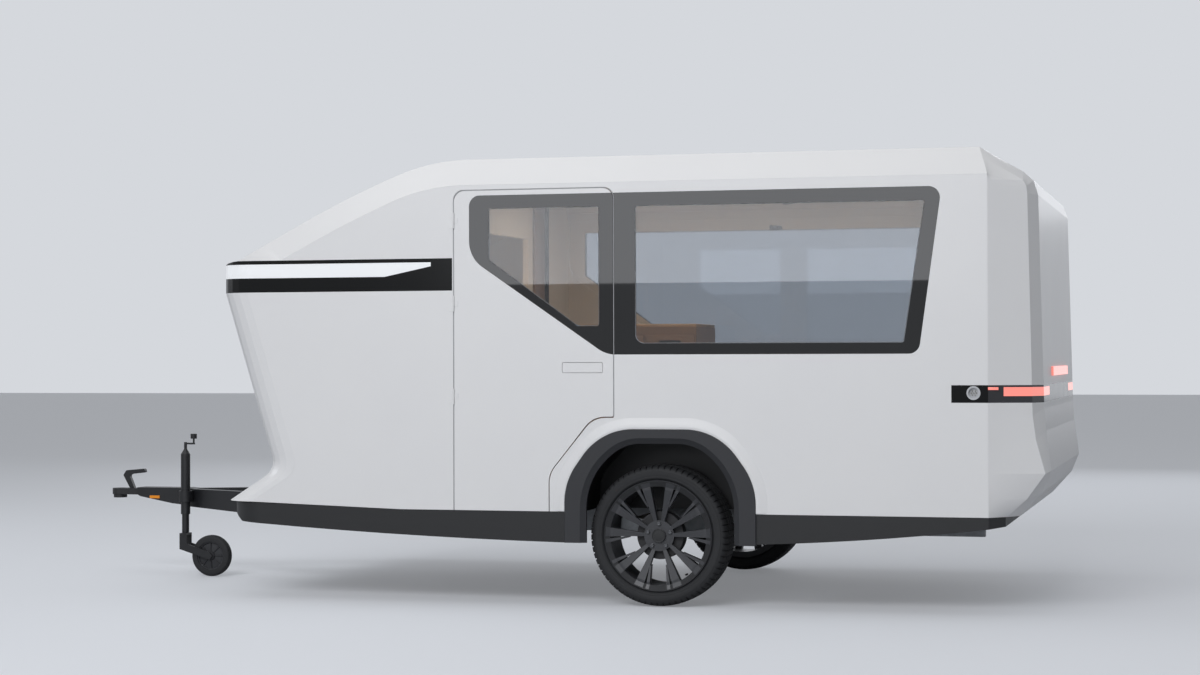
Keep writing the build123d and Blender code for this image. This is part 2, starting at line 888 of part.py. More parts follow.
# Jockey wheel on the drawbar's near side
jockey_reach = 2846
jockey_side = 112
jockey_tube_radius = 25
jockey_leg_radius = 19
jockey_tube_top = 652
jockey_tube_low = 330
jockey_foot = 134
jockey_wheel_reach = 2692
jockey_wheel_radius = 110
jockey_wheel_width = 50
jockey_pin_radius = 8
cheek = 6
cheek_gap = 6
jockey_at = (fore(jockey_reach), -jockey_side)

with BuildPart() as jockey_tube:
    with BuildSketch(Plane.XY.offset(jockey_tube_low)):
        with Locations(jockey_at):
            Circle(jockey_tube_radius)
            Circle(jockey_leg_radius + 0.1, mode=Mode.SUBTRACT)
    extrude(amount=jockey_tube_top - jockey_tube_low)
save(jockey_tube, "jockey_tube")

with BuildPart() as jockey_crank:
    with BuildSketch(Plane.XZ.offset(jockey_side)):
        with BuildLine():
            Polyline(
                (fore(jockey_reach), 640),
                (fore(jockey_reach) + 19, 640),
                (fore(jockey_reach) + 19, jockey_tube_top),
                (fore(jockey_reach) + 25, jockey_tube_top),
                (fore(jockey_reach) + 8, 680),
                (fore(jockey_reach) + 8, 716),
                (fore(jockey_reach), 716),
                close=True,
            )
        make_face()
    revolve(axis=Axis((fore(jockey_reach), -jockey_side, 0), (0, 0, 1)))
    with BuildSketch(Plane.XY.offset(704)):
        with Locations((fore(jockey_reach) + 24, -jockey_side)):
            SlotCenterToCenter(48, 14)
    extrude(amount=9)
    with BuildSketch(Plane.XY.offset(708)):
        with Locations((fore(jockey_reach) + 48, -jockey_side)):
            Circle(5)
    extrude(amount=30)
    with BuildSketch(Plane.XY.offset(735)):
        with Locations((fore(jockey_reach) + 48, -jockey_side)):
            Circle(17)
    extrude(amount=26)
save(jockey_crank, "jockey_crank")

with BuildPart() as jockey_clamp:
    with BuildSketch(Plane.XY.offset(395)):
        with Locations((fore(jockey_reach), -(jockey_side + nose_beam_half) / 2)):
            Rectangle(70, jockey_side - nose_beam_half)
        with Locations(jockey_at):
            Circle(36)
        with Locations(jockey_at):
            Circle(jockey_tube_radius, mode=Mode.SUBTRACT)
    extrude(amount=60)
    add(drawbar_leg(-1, 0), mode=Mode.SUBTRACT)
save(jockey_clamp, "jockey_clamp")

fork_half = jockey_wheel_width / 2 + cheek_gap
crown_top = 229
with BuildPart() as jockey_leg:
    with BuildSketch(Plane.XY.offset(crown_top + 1)):
        with Locations(jockey_at):
            Circle(jockey_leg_radius)
    extrude(amount=310)
    with BuildSketch(Plane.XY.offset(crown_top + 1)):
        with Locations(jockey_at):
            Circle(jockey_pin_radius + 0.1)
    extrude(amount=40, mode=Mode.SUBTRACT)
save(jockey_leg, "jockey_leg")

with BuildPart() as jockey_fork:
    for cheek_face in (jockey_side + fork_half + cheek, jockey_side - fork_half):
        with BuildSketch(Plane.XZ.offset(cheek_face)):
            with BuildLine():
                Polyline(
                    (fore(jockey_reach) - 19, crown_top),
                    (fore(jockey_reach) - 19, 144),
                    (fore(jockey_wheel_reach), jockey_wheel_radius - 20),
                    (fore(jockey_wheel_reach) + 18, jockey_wheel_radius),
                    (fore(jockey_wheel_reach), jockey_wheel_radius + 20),
                    (fore(jockey_reach) + 19, 174),
                    (fore(jockey_reach) + 19, crown_top),
                    close=True,
                )
            make_face()
        extrude(amount=-cheek)
    add(
        block(
            (fore(jockey_reach) - 19, -jockey_side - fork_half - cheek, crown_top - 10),
            (fore(jockey_reach) + 19, -jockey_side + fork_half + cheek, crown_top),
        )
    )
    with BuildSketch(Plane.XY.offset(crown_top - 5)):
        with Locations(jockey_at):
            Circle(jockey_pin_radius)
    extrude(amount=40)
    with BuildSketch(Plane.XZ.offset(jockey_side + fork_half + cheek)):
        with Locations((fore(jockey_wheel_reach), jockey_wheel_radius)):
            Circle(jockey_pin_radius)
    extrude(amount=-2 * fork_half - 2 * cheek)
save(jockey_fork, "jockey_fork")

with BuildPart() as jockey_wheel:
    with BuildSketch(Plane.XY):
        with BuildLine():
            Polyline(
                (jockey_pin_radius + 0.1, jockey_wheel_width / 2),
                (jockey_wheel_radius - 10, jockey_wheel_width / 2),
                (jockey_wheel_radius, jockey_wheel_width / 5),
                (jockey_wheel_radius, -jockey_wheel_width / 5),
                (jockey_wheel_radius - 10, -jockey_wheel_width / 2),
                (jockey_pin_radius + 0.1, -jockey_wheel_width / 2),
                close=True,
            )
        make_face()
    revolve(axis=Axis.Y)

jockey_wheel.part.position = (fore(jockey_wheel_reach), -jockey_side, jockey_wheel_radius)
save(jockey_wheel, "jockey_wheel")

# Road wheels, drawn about their own axis with the outer face upward
rim_seat = 240
rim_lip = 261
rim_inner = 231
hub_radius = 72
spoke_face = -12
spoke_depth = 40
bolt_circle = 56
bolt_hole = 8
stub_radius = 20
spoke_count = 5
# Columns: angle from the middle of the wide opening as a share of a sector, radius as a share of the seat
spoke_shares = ((0.10, 0.24), (0.125, 0.99), (0.265, 0.99), (0.30, 0.24))
branch_shares = ((0.27, 0.62), (0.305, 0.99), (0.36, 0.99), (0.30, 0.58))


def polar(shares, mirror_sign):
    sector = 360 / spoke_count
    points = []
    for angle_share, radius_share in shares:
        angle = math.radians(90 + mirror_sign * angle_share * sector)
        points.append((rim_seat * radius_share * math.cos(angle), rim_seat * radius_share * math.sin(angle)))
    return points


with BuildPart() as rim_form:
    with BuildSketch(Plane.XZ):
        with BuildLine():
            Polyline(
                (rim_inner, -13),
                (rim_lip - 4, -4),
                (rim_lip, -8),
                (rim_seat, -20),
                (rim_seat, 20 - tyre_width),
                (rim_lip, 8 - tyre_width),
                (rim_inner, 12 - tyre_width),
                close=True,
            )
        make_face()
    revolve(axis=Axis.Z)
    with BuildSketch(Plane.XY.offset(hub_face)):
        Circle(hub_radius)
        with PolarLocations(bolt_circle, spoke_count, start_angle=90):
            Circle(bolt_hole, mode=Mode.SUBTRACT)
    extrude(amount=-hub_depth)
    with BuildSketch(Plane.XY.offset(spoke_face)):
        for turn in range(spoke_count):
            for sign in (-1, 1):
                for shares in (spoke_shares, branch_shares):
                    with BuildLine(Rotation(0, 0, turn * 360 / spoke_count) * Plane.XY):
                        Polyline(*polar(shares, sign), close=True)
                    make_face()
    extrude(amount=-spoke_depth)
    with BuildSketch(Plane.XZ):
        with BuildLine():
            Polyline((0, spoke_face + 1), (rim_inner - 6, spoke_face + 1), (hub_radius, hub_face), (0, hub_face), close=True)
        make_face()
    revolve(axis=Axis.Z, mode=Mode.SUBTRACT)
    with BuildSketch(Plane.XY.offset(hub_face)):
        Circle(33)
    extrude(amount=8)

with BuildPart() as tyre_form:
    with BuildSketch(Plane.XZ):
        with BuildLine():
            Polyline(
                (rim_seat, -20),
                (rim_lip + 1, -8),
                (rim_lip + 36, 0),
                (wheel_radius - 4, -16),
                (wheel_radius, -34),
                (wheel_radius, 34 - tyre_width),
                (rim_lip + 36, -tyre_width),
                (rim_lip + 1, 8 - tyre_width),
                (rim_seat, 20 - tyre_width),
                close=True,
            )
        make_face()
    revolve(axis=Axis.Z)

with BuildPart() as hub_form:
    with BuildSketch(Plane.XY.offset(hub_face - hub_depth)):
        Circle(drum_radius)
        Circle(stub_radius + 0.1, mode=Mode.SUBTRACT)
    extrude(amount=-drum_depth)

with BuildPart() as arm_form:
    with BuildSketch(Plane.XY.offset(arm_top)):
        Circle(drum_radius)
    extrude(amount=-backplate)
    with BuildSketch(Plane.XY.offset(arm_top)):
        Circle(stub_radius)
    extrude(amount=drum_depth + door_gap - 1)


def wheel_plane(side):
    """A wheel's plane: its origin on the tyre's outer face and its axis pointing outward."""
    return Plane(
        origin=(axle_x, side * (half_width - wheel_inset), wheel_radius),
        x_dir=(1, 0, 0),
        z_dir=(0, side, 0),
    )


for side, hand in ((-1, "left"), (1, "right")):
    for form, name in ((rim_form, "rim"), (tyre_form, "tyre"), (hub_form, "hub")):
        with BuildPart() as piece:
            add(wheel_plane(side) * form.part)
        save(piece, f"{name}_{hand}")
    arm_outer = half_width - wheel_inset + arm_top - backplate
    near, far = sorted((side * arm_outer, side * (arm_outer - arm_depth)))
    with BuildPart() as swing_arm:
        add(wheel_plane(side) * arm_form.part)
        add(
            side_prism(
                [
                    (aft(axle_set_back) - 58, axle_tube_height - 30, 20),
                    (axle_x + 40, wheel_radius - 42, 20),
                    (axle_x + 40, wheel_radius + 42, 20),
                    (aft(axle_set_back) - 58, axle_tube_height + 58, 20),
                ],
                near,
                far,
            )
        )
    save(swing_arm, f"swing_arm_{hand}")


# Door hinges: knuckles on the outer face, at the front gap
knuckle_radius = 5
knuckle_pin = 2.5
knuckle_length = 25
knuckle_space = 0.5
running_gap = 0.1
knuckle_plate = 2
knuckle_reach = 22
hinge_heights_share = (0.33, 0.62, 0.88)
hinge_x = fore(door_front_reach) + door_gap / 2
hinge_y = -half_width - knuckle_radius


def knuckle(low, high, direction):
    """A barrel and its plate on the skin, towards the wall or towards the door."""
    near_x, far_x = sorted((hinge_x, hinge_x + direction * knuckle_reach))
    with BuildPart() as barrel:
        with BuildSketch(Plane.XY.offset(low)):
            with Locations((hinge_x, hinge_y)):
                Circle(knuckle_radius)
            with Locations(((near_x + far_x) / 2, -half_width - knuckle_plate / 2)):
                Rectangle(far_x - near_x, knuckle_plate)
        extrude(amount=high - low)
    return barrel.part


with BuildPart() as door_hinges:
    for share in hinge_heights_share:
        low = floor_height + share * (door_top - floor_height)
        add(knuckle(low, low + knuckle_length, -1))
        add(knuckle(low + 2 * knuckle_length, low + 3 * knuckle_length, -1))
        with BuildSketch(Plane.XY.offset(low)):
            with Locations((hinge_x, hinge_y)):
                Circle(knuckle_pin)
        extrude(amount=3 * knuckle_length)
save(door_hinges, "door_hinges")

with BuildPart() as door_knuckles:
    for share in hinge_heights_share:
        low = floor_height + share * (door_top - floor_height) + knuckle_length + knuckle_space
        add(knuckle(low, low + knuckle_length - 2 * knuckle_space, 1))
        with BuildSketch(Plane.XY.offset(low)):
            with Locations((hinge_x, hinge_y)):
                Circle(knuckle_pin + running_gap)
        extrude(amount=knuckle_length, mode=Mode.SUBTRACT)
save(door_knuckles, "door_knuckles")

# Reflectors on the drawbar
with BuildPart() as side_reflectors:
    for side in (-1, 1):
        near, far = sorted((side * nose_beam_half, side * (nose_beam_half + 4)))
        add(block((fore(3085), near, 408), (fore(3027), far, 423)))
save(side_reflectors, "side_reflectors")

# Cabin fittings that show through the windows
board = 18
bulkhead_reach = 1050
bulkhead_thickness = 30
niche_near = -700
niche_far = 320
niche_low = 1440
niche_top = 1800
with BuildPart() as front_bulkhead:
    add(inner_form.part)
    add(
        block((fore(bulkhead_reach + bulkhead_thickness), -out, floor_top), (fore(bulkhead_reach), out, roof_height)),
        mode=Mode.INTERSECT,
    )
    add(
        block((fore(nose_reach), niche_near, niche_low), (fore(bulkhead_reach) + overrun, niche_far, niche_top)),
        mode=Mode.SUBTRACT,
    )
save(front_bulkhead, "front_bulkhead")

with BuildPart() as bunk_base:
    add(inner_form.part)
    add(
        block((front_end, -out, niche_low - 30), (fore(bulkhead_reach + bulkhead_thickness), out, niche_low)),
        mode=Mode.INTERSECT,
    )
save(bunk_base, "bunk_base")

bunk_mattress_top = 1580
with BuildPart() as bunk_mattress:
    add(block((fore(2020), -1040, niche_low), (fore(1100), 1040, bunk_mattress_top)))
save(bunk_mattress, "bunk_mattress")

with BuildPart() as pillows:
    for side in (-1, 1):
        near, far = sorted((side * 120, side * 760))
        add(block((fore(1960), near, bunk_mattress_top), (fore(1600), far, bunk_mattress_top + 80)))
save(pillows, "pillows")


def carcass(low, high, openings):
    """A unit made of boards, open towards the wall and the floor."""
    with BuildPart() as unit:
        add(block(low, high))
        for opening in openings:
            add(opening, mode=Mode.SUBTRACT)
    return unit.part


kitchen_top = 1330
with BuildPart() as kitchen_unit:
    add(
        carcass(
            (fore(bulkhead_reach), 640, floor_top),
            (fore(200), inner_side, kitchen_top),
            [
                block(
                    (fore(bulkhead_reach) + board, 640 + board, floor_top - board),
                    (fore(200) - board, out, kitchen_top - board),
                ),
                arch_box_right,
            ],
        )
    )
save(kitchen_unit, "kitchen_unit")

bench_front_reach = 540
bench_top = 800
seat_top = 900
bench_depth = 620
back_reach = 1080
bench_inner = inner_side - bench_depth
with BuildPart() as bench_plan:
    add(inner_form.part)
    add(block((aft(bench_front_reach), -out, floor_top), (rear_end, out, roof_height)), mode=Mode.INTERSECT)
    add(
        block((aft(bench_front_reach) - overrun, -bench_inner, 0), (aft(back_reach), bench_inner, roof_height)),
        mode=Mode.SUBTRACT,
    )

with BuildPart() as rear_bench:
    add(bench_plan.part)
    add(block((0, -out, floor_top), (rear_end, out, bench_top)), mode=Mode.INTERSECT)
    for near, far in ((-inner_side + board, -bench_inner - board), (bench_inner + board, inner_side - board)):
        add(
            block((aft(bench_front_reach) + board, near, floor_top - board), (aft(1560), far, bench_top - board)),
            mode=Mode.SUBTRACT,
        )
    add(
        block((aft(back_reach) + board, -bench_inner - overrun, floor_top - board), (aft(1560), bench_inner + overrun, bench_top - board)),
        mode=Mode.SUBTRACT,
    )
save(rear_bench, "rear_bench")

with BuildPart() as seat_cushion:
    add(bench_plan.part)
    add(block((0, -out, bench_top), (rear_end, out, seat_top)), mode=Mode.INTERSECT)
save(seat_cushion, "seat_cushion")

back_cushion_top = 1250
cushion_depth = 150
with BuildPart() as back_cushions:
    for side in (-1, 1):
        near, far = sorted((side * (inner_side - 2), side * (inner_side - cushion_depth)))
        add(block((aft(bench_front_reach + 20), near, seat_top), (aft(1230), far, 1170)))
    add(block((aft(1500), -bench_inner - 100, seat_top), (aft(1640), bench_inner + 100, back_cushion_top)))
save(back_cushions, "back_cushions")
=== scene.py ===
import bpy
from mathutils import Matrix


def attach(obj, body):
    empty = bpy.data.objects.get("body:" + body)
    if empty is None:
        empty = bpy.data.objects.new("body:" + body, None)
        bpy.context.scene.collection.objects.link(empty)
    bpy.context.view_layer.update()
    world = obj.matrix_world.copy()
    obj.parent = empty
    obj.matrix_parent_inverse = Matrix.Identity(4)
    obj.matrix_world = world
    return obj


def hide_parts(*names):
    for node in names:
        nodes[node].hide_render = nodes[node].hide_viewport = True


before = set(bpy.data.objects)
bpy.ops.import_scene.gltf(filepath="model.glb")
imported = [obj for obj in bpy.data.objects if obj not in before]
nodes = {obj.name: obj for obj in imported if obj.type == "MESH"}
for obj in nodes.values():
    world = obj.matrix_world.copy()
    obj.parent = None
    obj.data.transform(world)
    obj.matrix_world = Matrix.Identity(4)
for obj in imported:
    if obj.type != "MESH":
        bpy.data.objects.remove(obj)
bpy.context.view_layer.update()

import math
from collections import Counter

import bmesh
import bpy
from mathutils import Matrix, Vector

print("frame loaded:", len(nodes), "pieces")


def hexColor(code):
    # sRGB hex to the linear colour that the shader wants
    channels = [int(code[i:i + 2], 16) / 255 for i in (1, 3, 5)]
    linear = [c / 12.92 if c <= 0.04045 else ((c + 0.055) / 1.055) ** 2.4 for c in channels]
    return (*linear, 1.0)


def addNode(tree, kind, settings=None, links=None):
    # settings: attribute or input name -> value; links: input name -> output socket
    node = tree.nodes.new(kind)
    for key, value in (settings or {}).items():
        if isinstance(key, int) or key in node.inputs:
            node.inputs[key].default_value = value
        else:
            setattr(node, key, value)
    for key, socket in (links or {}).items():
        tree.links.new(socket, node.inputs[key])
    return node


# The fine edge radius of the real parts, which the CAD leaves sharp, in millimetres
edgeRound = {"radiusMm": 1.5, "samples": 4}
# How many octaves each noise has
detail = {"peel": 2.0, "paint": 3.0, "plastic": 4.0, "threads": 5.0, "grain": 6.0, "ripple": 0.0}
# Strength of a bump, and its depth in millimetres
relief = {"ribs": (0.15, 0.4), "grain": (0.25, 0.3), "weave": (0.35, 0.5), "ripple": (0.01, 0.05)}
# The wave node runs through this many radians for each unit of length and of scale
waveRadians = 20
# Veneer's pattern is drawn out along the board
boardStretch = (0.25, 2.0, 2.0)
weave = {"distortion": 0.6, "detail": 1.0, "sheen": 0.35, "sheenRoughness": 0.5}


def newMaterial(name, look):
    # one Principled shader with its output; patterns lie in the object's own coordinates, in metres
    material = bpy.data.materials.new(name)
    material.use_nodes = True
    tree = material.node_tree
    tree.nodes.clear()
    shader = addNode(tree, "ShaderNodeBsdfPrincipled", {
        "Base Color": hexColor(look["color"]),
        "Roughness": look["roughness"],
        "Metallic": look.get("metallic", 0.0),
        "IOR": look.get("ior", 1.5),
    })
    for socket, value in look.get("extra", {}).items():
        shader.inputs[socket].default_value = value
    addNode(tree, "ShaderNodeOutputMaterial", {}, {"Surface": shader.outputs[0]})
    place = addNode(tree, "ShaderNodeTexCoord").outputs["Object"]
    return material, tree, shader, place


def addBump(tree, shader, height, strength, depthMm):
    # the bump stands on the rounded edge, so that the edge catches the light under it
    edge = addNode(tree, "ShaderNodeBevel",
                   {"samples": edgeRound["samples"], "Radius": edgeRound["radiusMm"] / 1000})
    bump = addNode(tree, "ShaderNodeBump", {"Strength": strength, "Distance": depthMm / 1000},
                   {"Height": height, "Normal": edge.outputs[0]})
    tree.links.new(bump.outputs[0], shader.inputs["Normal"])


def addTone(tree, shader, pattern, lowHex, highHex):
    # colour that drifts between two close tones: the mix node's inputs 6 and 7, and its output 2
    mix = addNode(tree, "ShaderNodeMix", {"data_type": "RGBA", 6: hexColor(lowHex), 7: hexColor(highHex)},
                  {"Factor": pattern})
    tree.links.new(mix.outputs[2], shader.inputs["Base Color"])


def addWear(tree, shader, place, look, octaves):
    # gloss and colour drift together over driftMm
    drift = addNode(tree, "ShaderNodeTexNoise", {"Scale": 1000 / look["driftMm"], "Detail": octaves},
                    {"Vector": place}).outputs[0]
    spread = look.get("spread", 0.05)
    low, high = look["roughness"] - spread, look["roughness"] + spread
    gloss = addNode(tree, "ShaderNodeMapRange", {"To Min": low, "To Max": high}, {"Value": drift})
    tree.links.new(gloss.outputs[0], shader.inputs["Roughness"])
    addTone(tree, shader, drift, look["color"], look["worn"])


def sprayedMaterial(name, look):
    # sprayed paint: peel gives its orange peel's size in millimetres, strength and depth in millimetres
    material, tree, shader, place = newMaterial(name, look)
    sizeMm, strength, depthMm = look["peel"]
    peel = addNode(tree, "ShaderNodeTexNoise", {"Scale": 1000 / sizeMm, "Detail": detail["peel"]},
                   {"Vector": place}).outputs[0]
    addBump(tree, shader, peel, strength, depthMm)
    addWear(tree, shader, place, look, detail["paint"])
    return material


def grainedMaterial(name, look):
    # moulded grain or zinc spangle, given as the peel is, and drawn coarser than the real one to show
    material, tree, shader, place = newMaterial(name, look)
    sizeMm, strength, depthMm = look["grain"]
    cells = addNode(tree, "ShaderNodeTexVoronoi", {"Scale": 1000 / sizeMm}, {"Vector": place})
    addBump(tree, shader, cells.outputs["Distance"], strength, depthMm)
    addWear(tree, shader, place, look, detail["plastic"])
    return material


def glowingMaterial(name, look):
    # moulded lens that glows and keeps its gloss: a lamp lights it from behind, and the amber reflectors,
    # which have no lamp, get the same glow as painted light; ribMm is one radian of its ribs
    material, tree, shader, place = newMaterial(name, look)
    shader.inputs["Emission Color"].default_value = hexColor(look["glow"])
    shader.inputs["Emission Strength"].default_value = look["strength"]
    ribs = addNode(tree, "ShaderNodeTexWave",
                   {"Scale": 1000 / look["ribMm"] / waveRadians, "Distortion": 0.0},
                   {"Vector": place}).outputs[0]
    addBump(tree, shader, ribs, *relief["ribs"])
    return material


def woodMaterial(name, look):
    # lacquered veneer: long grain with open pores
    material, tree, shader, place = newMaterial(name, look)
    drawnOut = addNode(tree, "ShaderNodeMapping", {"Scale": boardStretch}, {"Vector": place}).outputs[0]
    grain = addNode(tree, "ShaderNodeTexNoise",
                    {"Scale": 1000 / look["grainMm"], "Detail": detail["grain"]},
                    {"Vector": drawnOut}).outputs[0]
    addTone(tree, shader, grain, look["color"], look["dark"])
    addBump(tree, shader, grain, *relief["grain"])
    return material


def wovenMaterial(name, look):
    # woven cloth: threads cross at threadMm, drawn coarser than the real 0.8 mm so that they show
    material, tree, shader, place = newMaterial(name, look)
    wave = {"Scale": 1000 / look["threadMm"] / waveRadians * math.pi,
            "Distortion": weave["distortion"], "Detail": weave["detail"]}
    alongX, alongY, alongZ = (
        addNode(tree, "ShaderNodeTexWave", {"bands_direction": way, **wave}, {"Vector": place}).outputs[1]
        for way in "XYZ")
    crossed = addNode(tree, "ShaderNodeMath", {"operation": "MULTIPLY"}, {0: alongX, 1: alongY})
    threads = addNode(tree, "ShaderNodeMath", {"operation": "ADD"}, {0: crossed.outputs[0], 1: alongZ})
    addBump(tree, shader, threads.outputs[0], *relief["weave"])
    shade = addNode(tree, "ShaderNodeTexNoise",
                    {"Scale": 1000 / look["driftMm"], "Detail": detail["threads"]},
                    {"Vector": place}).outputs[0]
    addTone(tree, shader, shade, look["color"], look["dark"])
    shader.inputs["Sheen Weight"].default_value = weave["sheen"]
    shader.inputs["Sheen Roughness"].default_value = weave["sheenRoughness"]
    return material


def glassMaterial(name, look):
    # tempered glass, grey tinted through its body, nearly flat
    material, tree, shader, place = newMaterial(name, look)
    shader.inputs["Transmission Weight"].default_value = 1.0
    ripple = addNode(tree, "ShaderNodeTexNoise",
                     {"Scale": 1000 / look["rippleMm"], "Detail": detail["ripple"]},
                     {"Vector": place}).outputs[0]
    strength, depthMm = relief["ripple"]
    bump = addNode(tree, "ShaderNodeBump", {"Strength": strength, "Distance": depthMm / 1000},
                   {"Height": ripple})
    tree.links.new(bump.outputs[0], shader.inputs["Normal"])
    return material


looks = {
    # GRP sandwich skin, sprayed satin white: even, a soft wide highlight
    "sprayedWhiteGrp": (sprayedMaterial, {
        "color": "#ECECEC", "worn": "#E8E8E9", "roughness": 0.34, "spread": 0.03,
        "peel": (3.0, 0.03, 0.2), "driftMm": 420.0,
        "extra": {"Coat Weight": 0.25, "Coat Roughness": 0.2}}),
    # cast acrylic, back-painted black: mirror-like with sharp reflections
    "pianoBlackAcrylic": (sprayedMaterial, {
        "color": "#060708", "worn": "#08090A", "roughness": 0.16, "spread": 0.02, "ior": 1.49,
        "peel": (6.0, 0.01, 0.1), "driftMm": 150.0, "extra": {"Specular IOR Level": 0.25}}),
    # smoked polycarbonate strip at the tail: greyer, still glossy
    "smokedPolycarbonate": (sprayedMaterial, {
        "color": "#2A2A2D", "worn": "#303034", "roughness": 0.14, "spread": 0.03, "ior": 1.585,
        "peel": (6.0, 0.01, 0.1), "driftMm": 150.0}),
    # ceramic frit printed on the glass edge: black and as flat as the glass
    "fritBlackGlass": (sprayedMaterial, {
        "color": "#0D0E10", "worn": "#101113", "roughness": 0.015, "spread": 0.005, "ior": 1.52,
        "peel": (60.0, 0.002, 0.01), "driftMm": 300.0}),
    # toughened glass with a grey tint
    "tintedGlass": (glassMaterial, {"color": "#BCC1C7", "roughness": 0.01, "ior": 1.52, "rippleMm": 400.0}),
    # opal acrylic light guide, lit
    "opalAcrylicLit": (glowingMaterial, {
        "color": "#F2F4F6", "roughness": 0.2, "ior": 1.49,
        "glow": "#FBFDFF", "strength": 0.16, "ribMm": 30.0}),
    # red acrylic lens, lit: coral where it glows
    "redLensLit": (glowingMaterial, {
        "color": "#C8544C", "roughness": 0.12, "ior": 1.49,
        "glow": "#FF9C90", "strength": 0.75, "ribMm": 9.0}),
    # amber acrylic reflectors, with a painted glow, for they have no lamp behind them
    "amberLens": (glowingMaterial, {
        "color": "#E08A1E", "roughness": 0.12, "ior": 1.49,
        "glow": "#E58A20", "strength": 0.15, "ribMm": 6.0}),
    # polypropylene, injection moulded with a fine grain: dull dark grey
    "mouldedPolypropylene": (grainedMaterial, {
        "color": "#27282B", "worn": "#2B2C30", "roughness": 0.56, "ior": 1.49,
        "grain": (2.2, 0.12, 0.2), "driftMm": 260.0}),
    # ABS, moulded darker and a touch smoother
    "mouldedAbs": (grainedMaterial, {
        "color": "#0C0D0F", "worn": "#101114", "roughness": 0.5, "ior": 1.53,
        "grain": (2.6, 0.08, 0.2), "driftMm": 300.0}),
    # glass-filled nylon, light grey
    "paleNylon": (grainedMaterial, {
        "color": "#C9CBCE", "worn": "#BDBFC3", "roughness": 0.4, "ior": 1.53,
        "grain": (1.6, 0.06, 0.1), "driftMm": 60.0}),
    # powder-coated steel: black, slightly pebbled
    "powderCoatedSteel": (sprayedMaterial, {
        "color": "#141518", "worn": "#1B1C1F", "roughness": 0.42, "spread": 0.06,
        "peel": (2.4, 0.14, 0.3), "driftMm": 90.0}),
    # hot-dip galvanised steel: grey spangle
    "galvanisedSteel": (grainedMaterial, {
        "color": "#8A8D90", "worn": "#6F7275", "roughness": 0.45, "spread": 0.1, "metallic": 0.9,
        "grain": (14.0, 0.05, 0.1), "driftMm": 24.0}),
    # sand-cast iron, dark coated
    "castIron": (sprayedMaterial, {
        "color": "#1A1A1C", "worn": "#222225", "roughness": 0.6, "spread": 0.08,
        "peel": (2.0, 0.3, 0.4), "driftMm": 40.0}),
    # cast aluminium wheel, dark satin lacquer
    "satinLacquerAlloy": (sprayedMaterial, {
        "color": "#333437", "worn": "#38393D", "roughness": 0.44, "spread": 0.04, "metallic": 0.1,
        "peel": (2.0, 0.03, 0.1), "driftMm": 70.0,
        "extra": {"Coat Weight": 0.15, "Coat Roughness": 0.25}}),
    # tyre rubber: carbon black, dull, a little dusty
    "tyreRubber": (grainedMaterial, {
        "color": "#17181A", "worn": "#202124", "roughness": 0.72, "spread": 0.08, "ior": 1.52,
        "grain": (1.8, 0.1, 0.2), "driftMm": 80.0}),
    # oak veneer carcasses, matt lacquer
    "oakVeneer": (woodMaterial, {
        "color": "#B09274", "dark": "#957659", "roughness": 0.45, "grainMm": 60.0}),
    # walnut veneer fronts, matt lacquer
    "walnutVeneer": (woodMaterial, {
        "color": "#7E6452", "dark": "#695140", "roughness": 0.45, "grainMm": 50.0}),
    # needled felt lining on the walls and the roof
    "feltLining": (wovenMaterial, {
        "color": "#D3C6B6", "dark": "#C8BAA8", "roughness": 0.9, "ior": 1.45,
        "threadMm": 4.0, "driftMm": 200.0}),
    # woven polyester seat cloth, warm grey
    "wovenUpholstery": (wovenMaterial, {
        "color": "#D2CBC0", "dark": "#C2B9AB", "roughness": 0.85, "ior": 1.45,
        "threadMm": 3.0, "driftMm": 60.0}),
    # cotton bed linen, off-white
    "bedLinen": (wovenMaterial, {
        "color": "#EFE9E0", "dark": "#E3DBCE", "roughness": 0.85, "ior": 1.45,
        "threadMm": 2.5, "driftMm": 90.0}),
    # EPDM rubber seals: light grey in the door gap; round the glass mid grey, which is a painted highlight of
    # the glass edge
    "greyEpdmSeal": (grainedMaterial, {
        "color": "#B4B5B8", "worn": "#ABACAF", "roughness": 0.6, "ior": 1.52,
        "grain": (1.4, 0.05, 0.1), "driftMm": 120.0}),
    "glazingRubber": (grainedMaterial, {
        "color": "#77787A", "worn": "#6E6F72", "roughness": 0.45, "ior": 1.52,
        "grain": (1.4, 0.05, 0.1), "driftMm": 120.0}),
    # plated contacts of the inlet: bright, a little yellowed
    "zincPlatedSteel": (sprayedMaterial, {
        "color": "#A9A69C", "worn": "#8E8A80", "roughness": 0.3, "spread": 0.08, "metallic": 1.0,
        "peel": (1.5, 0.05, 0.1), "driftMm": 8.0}),
    # phosphated steel bolts: grey with a dull shine
    "phosphatedSteel": (sprayedMaterial, {
        "color": "#6A6B6E", "worn": "#58595C", "roughness": 0.38, "spread": 0.06, "metallic": 0.9,
        "peel": (1.5, 0.05, 0.1), "driftMm": 8.0}),
    # warm LED strip behind opal acrylic
    "warmStripLit": (glowingMaterial, {
        "color": "#FFF2E0", "roughness": 0.3, "ior": 1.49, "glow": "#FFE3C2", "strength": 1.3, "ribMm": 8.0}),
    # printed vinyl sheet on the plywood floor
    "vinylFloor": (woodMaterial, {
        "color": "#8A7A69", "dark": "#76675A", "roughness": 0.5, "grainMm": 80.0}),
}
materials = {name: make(name, look) for name, (make, look) in looks.items()}
print("materials made:", len(materials))

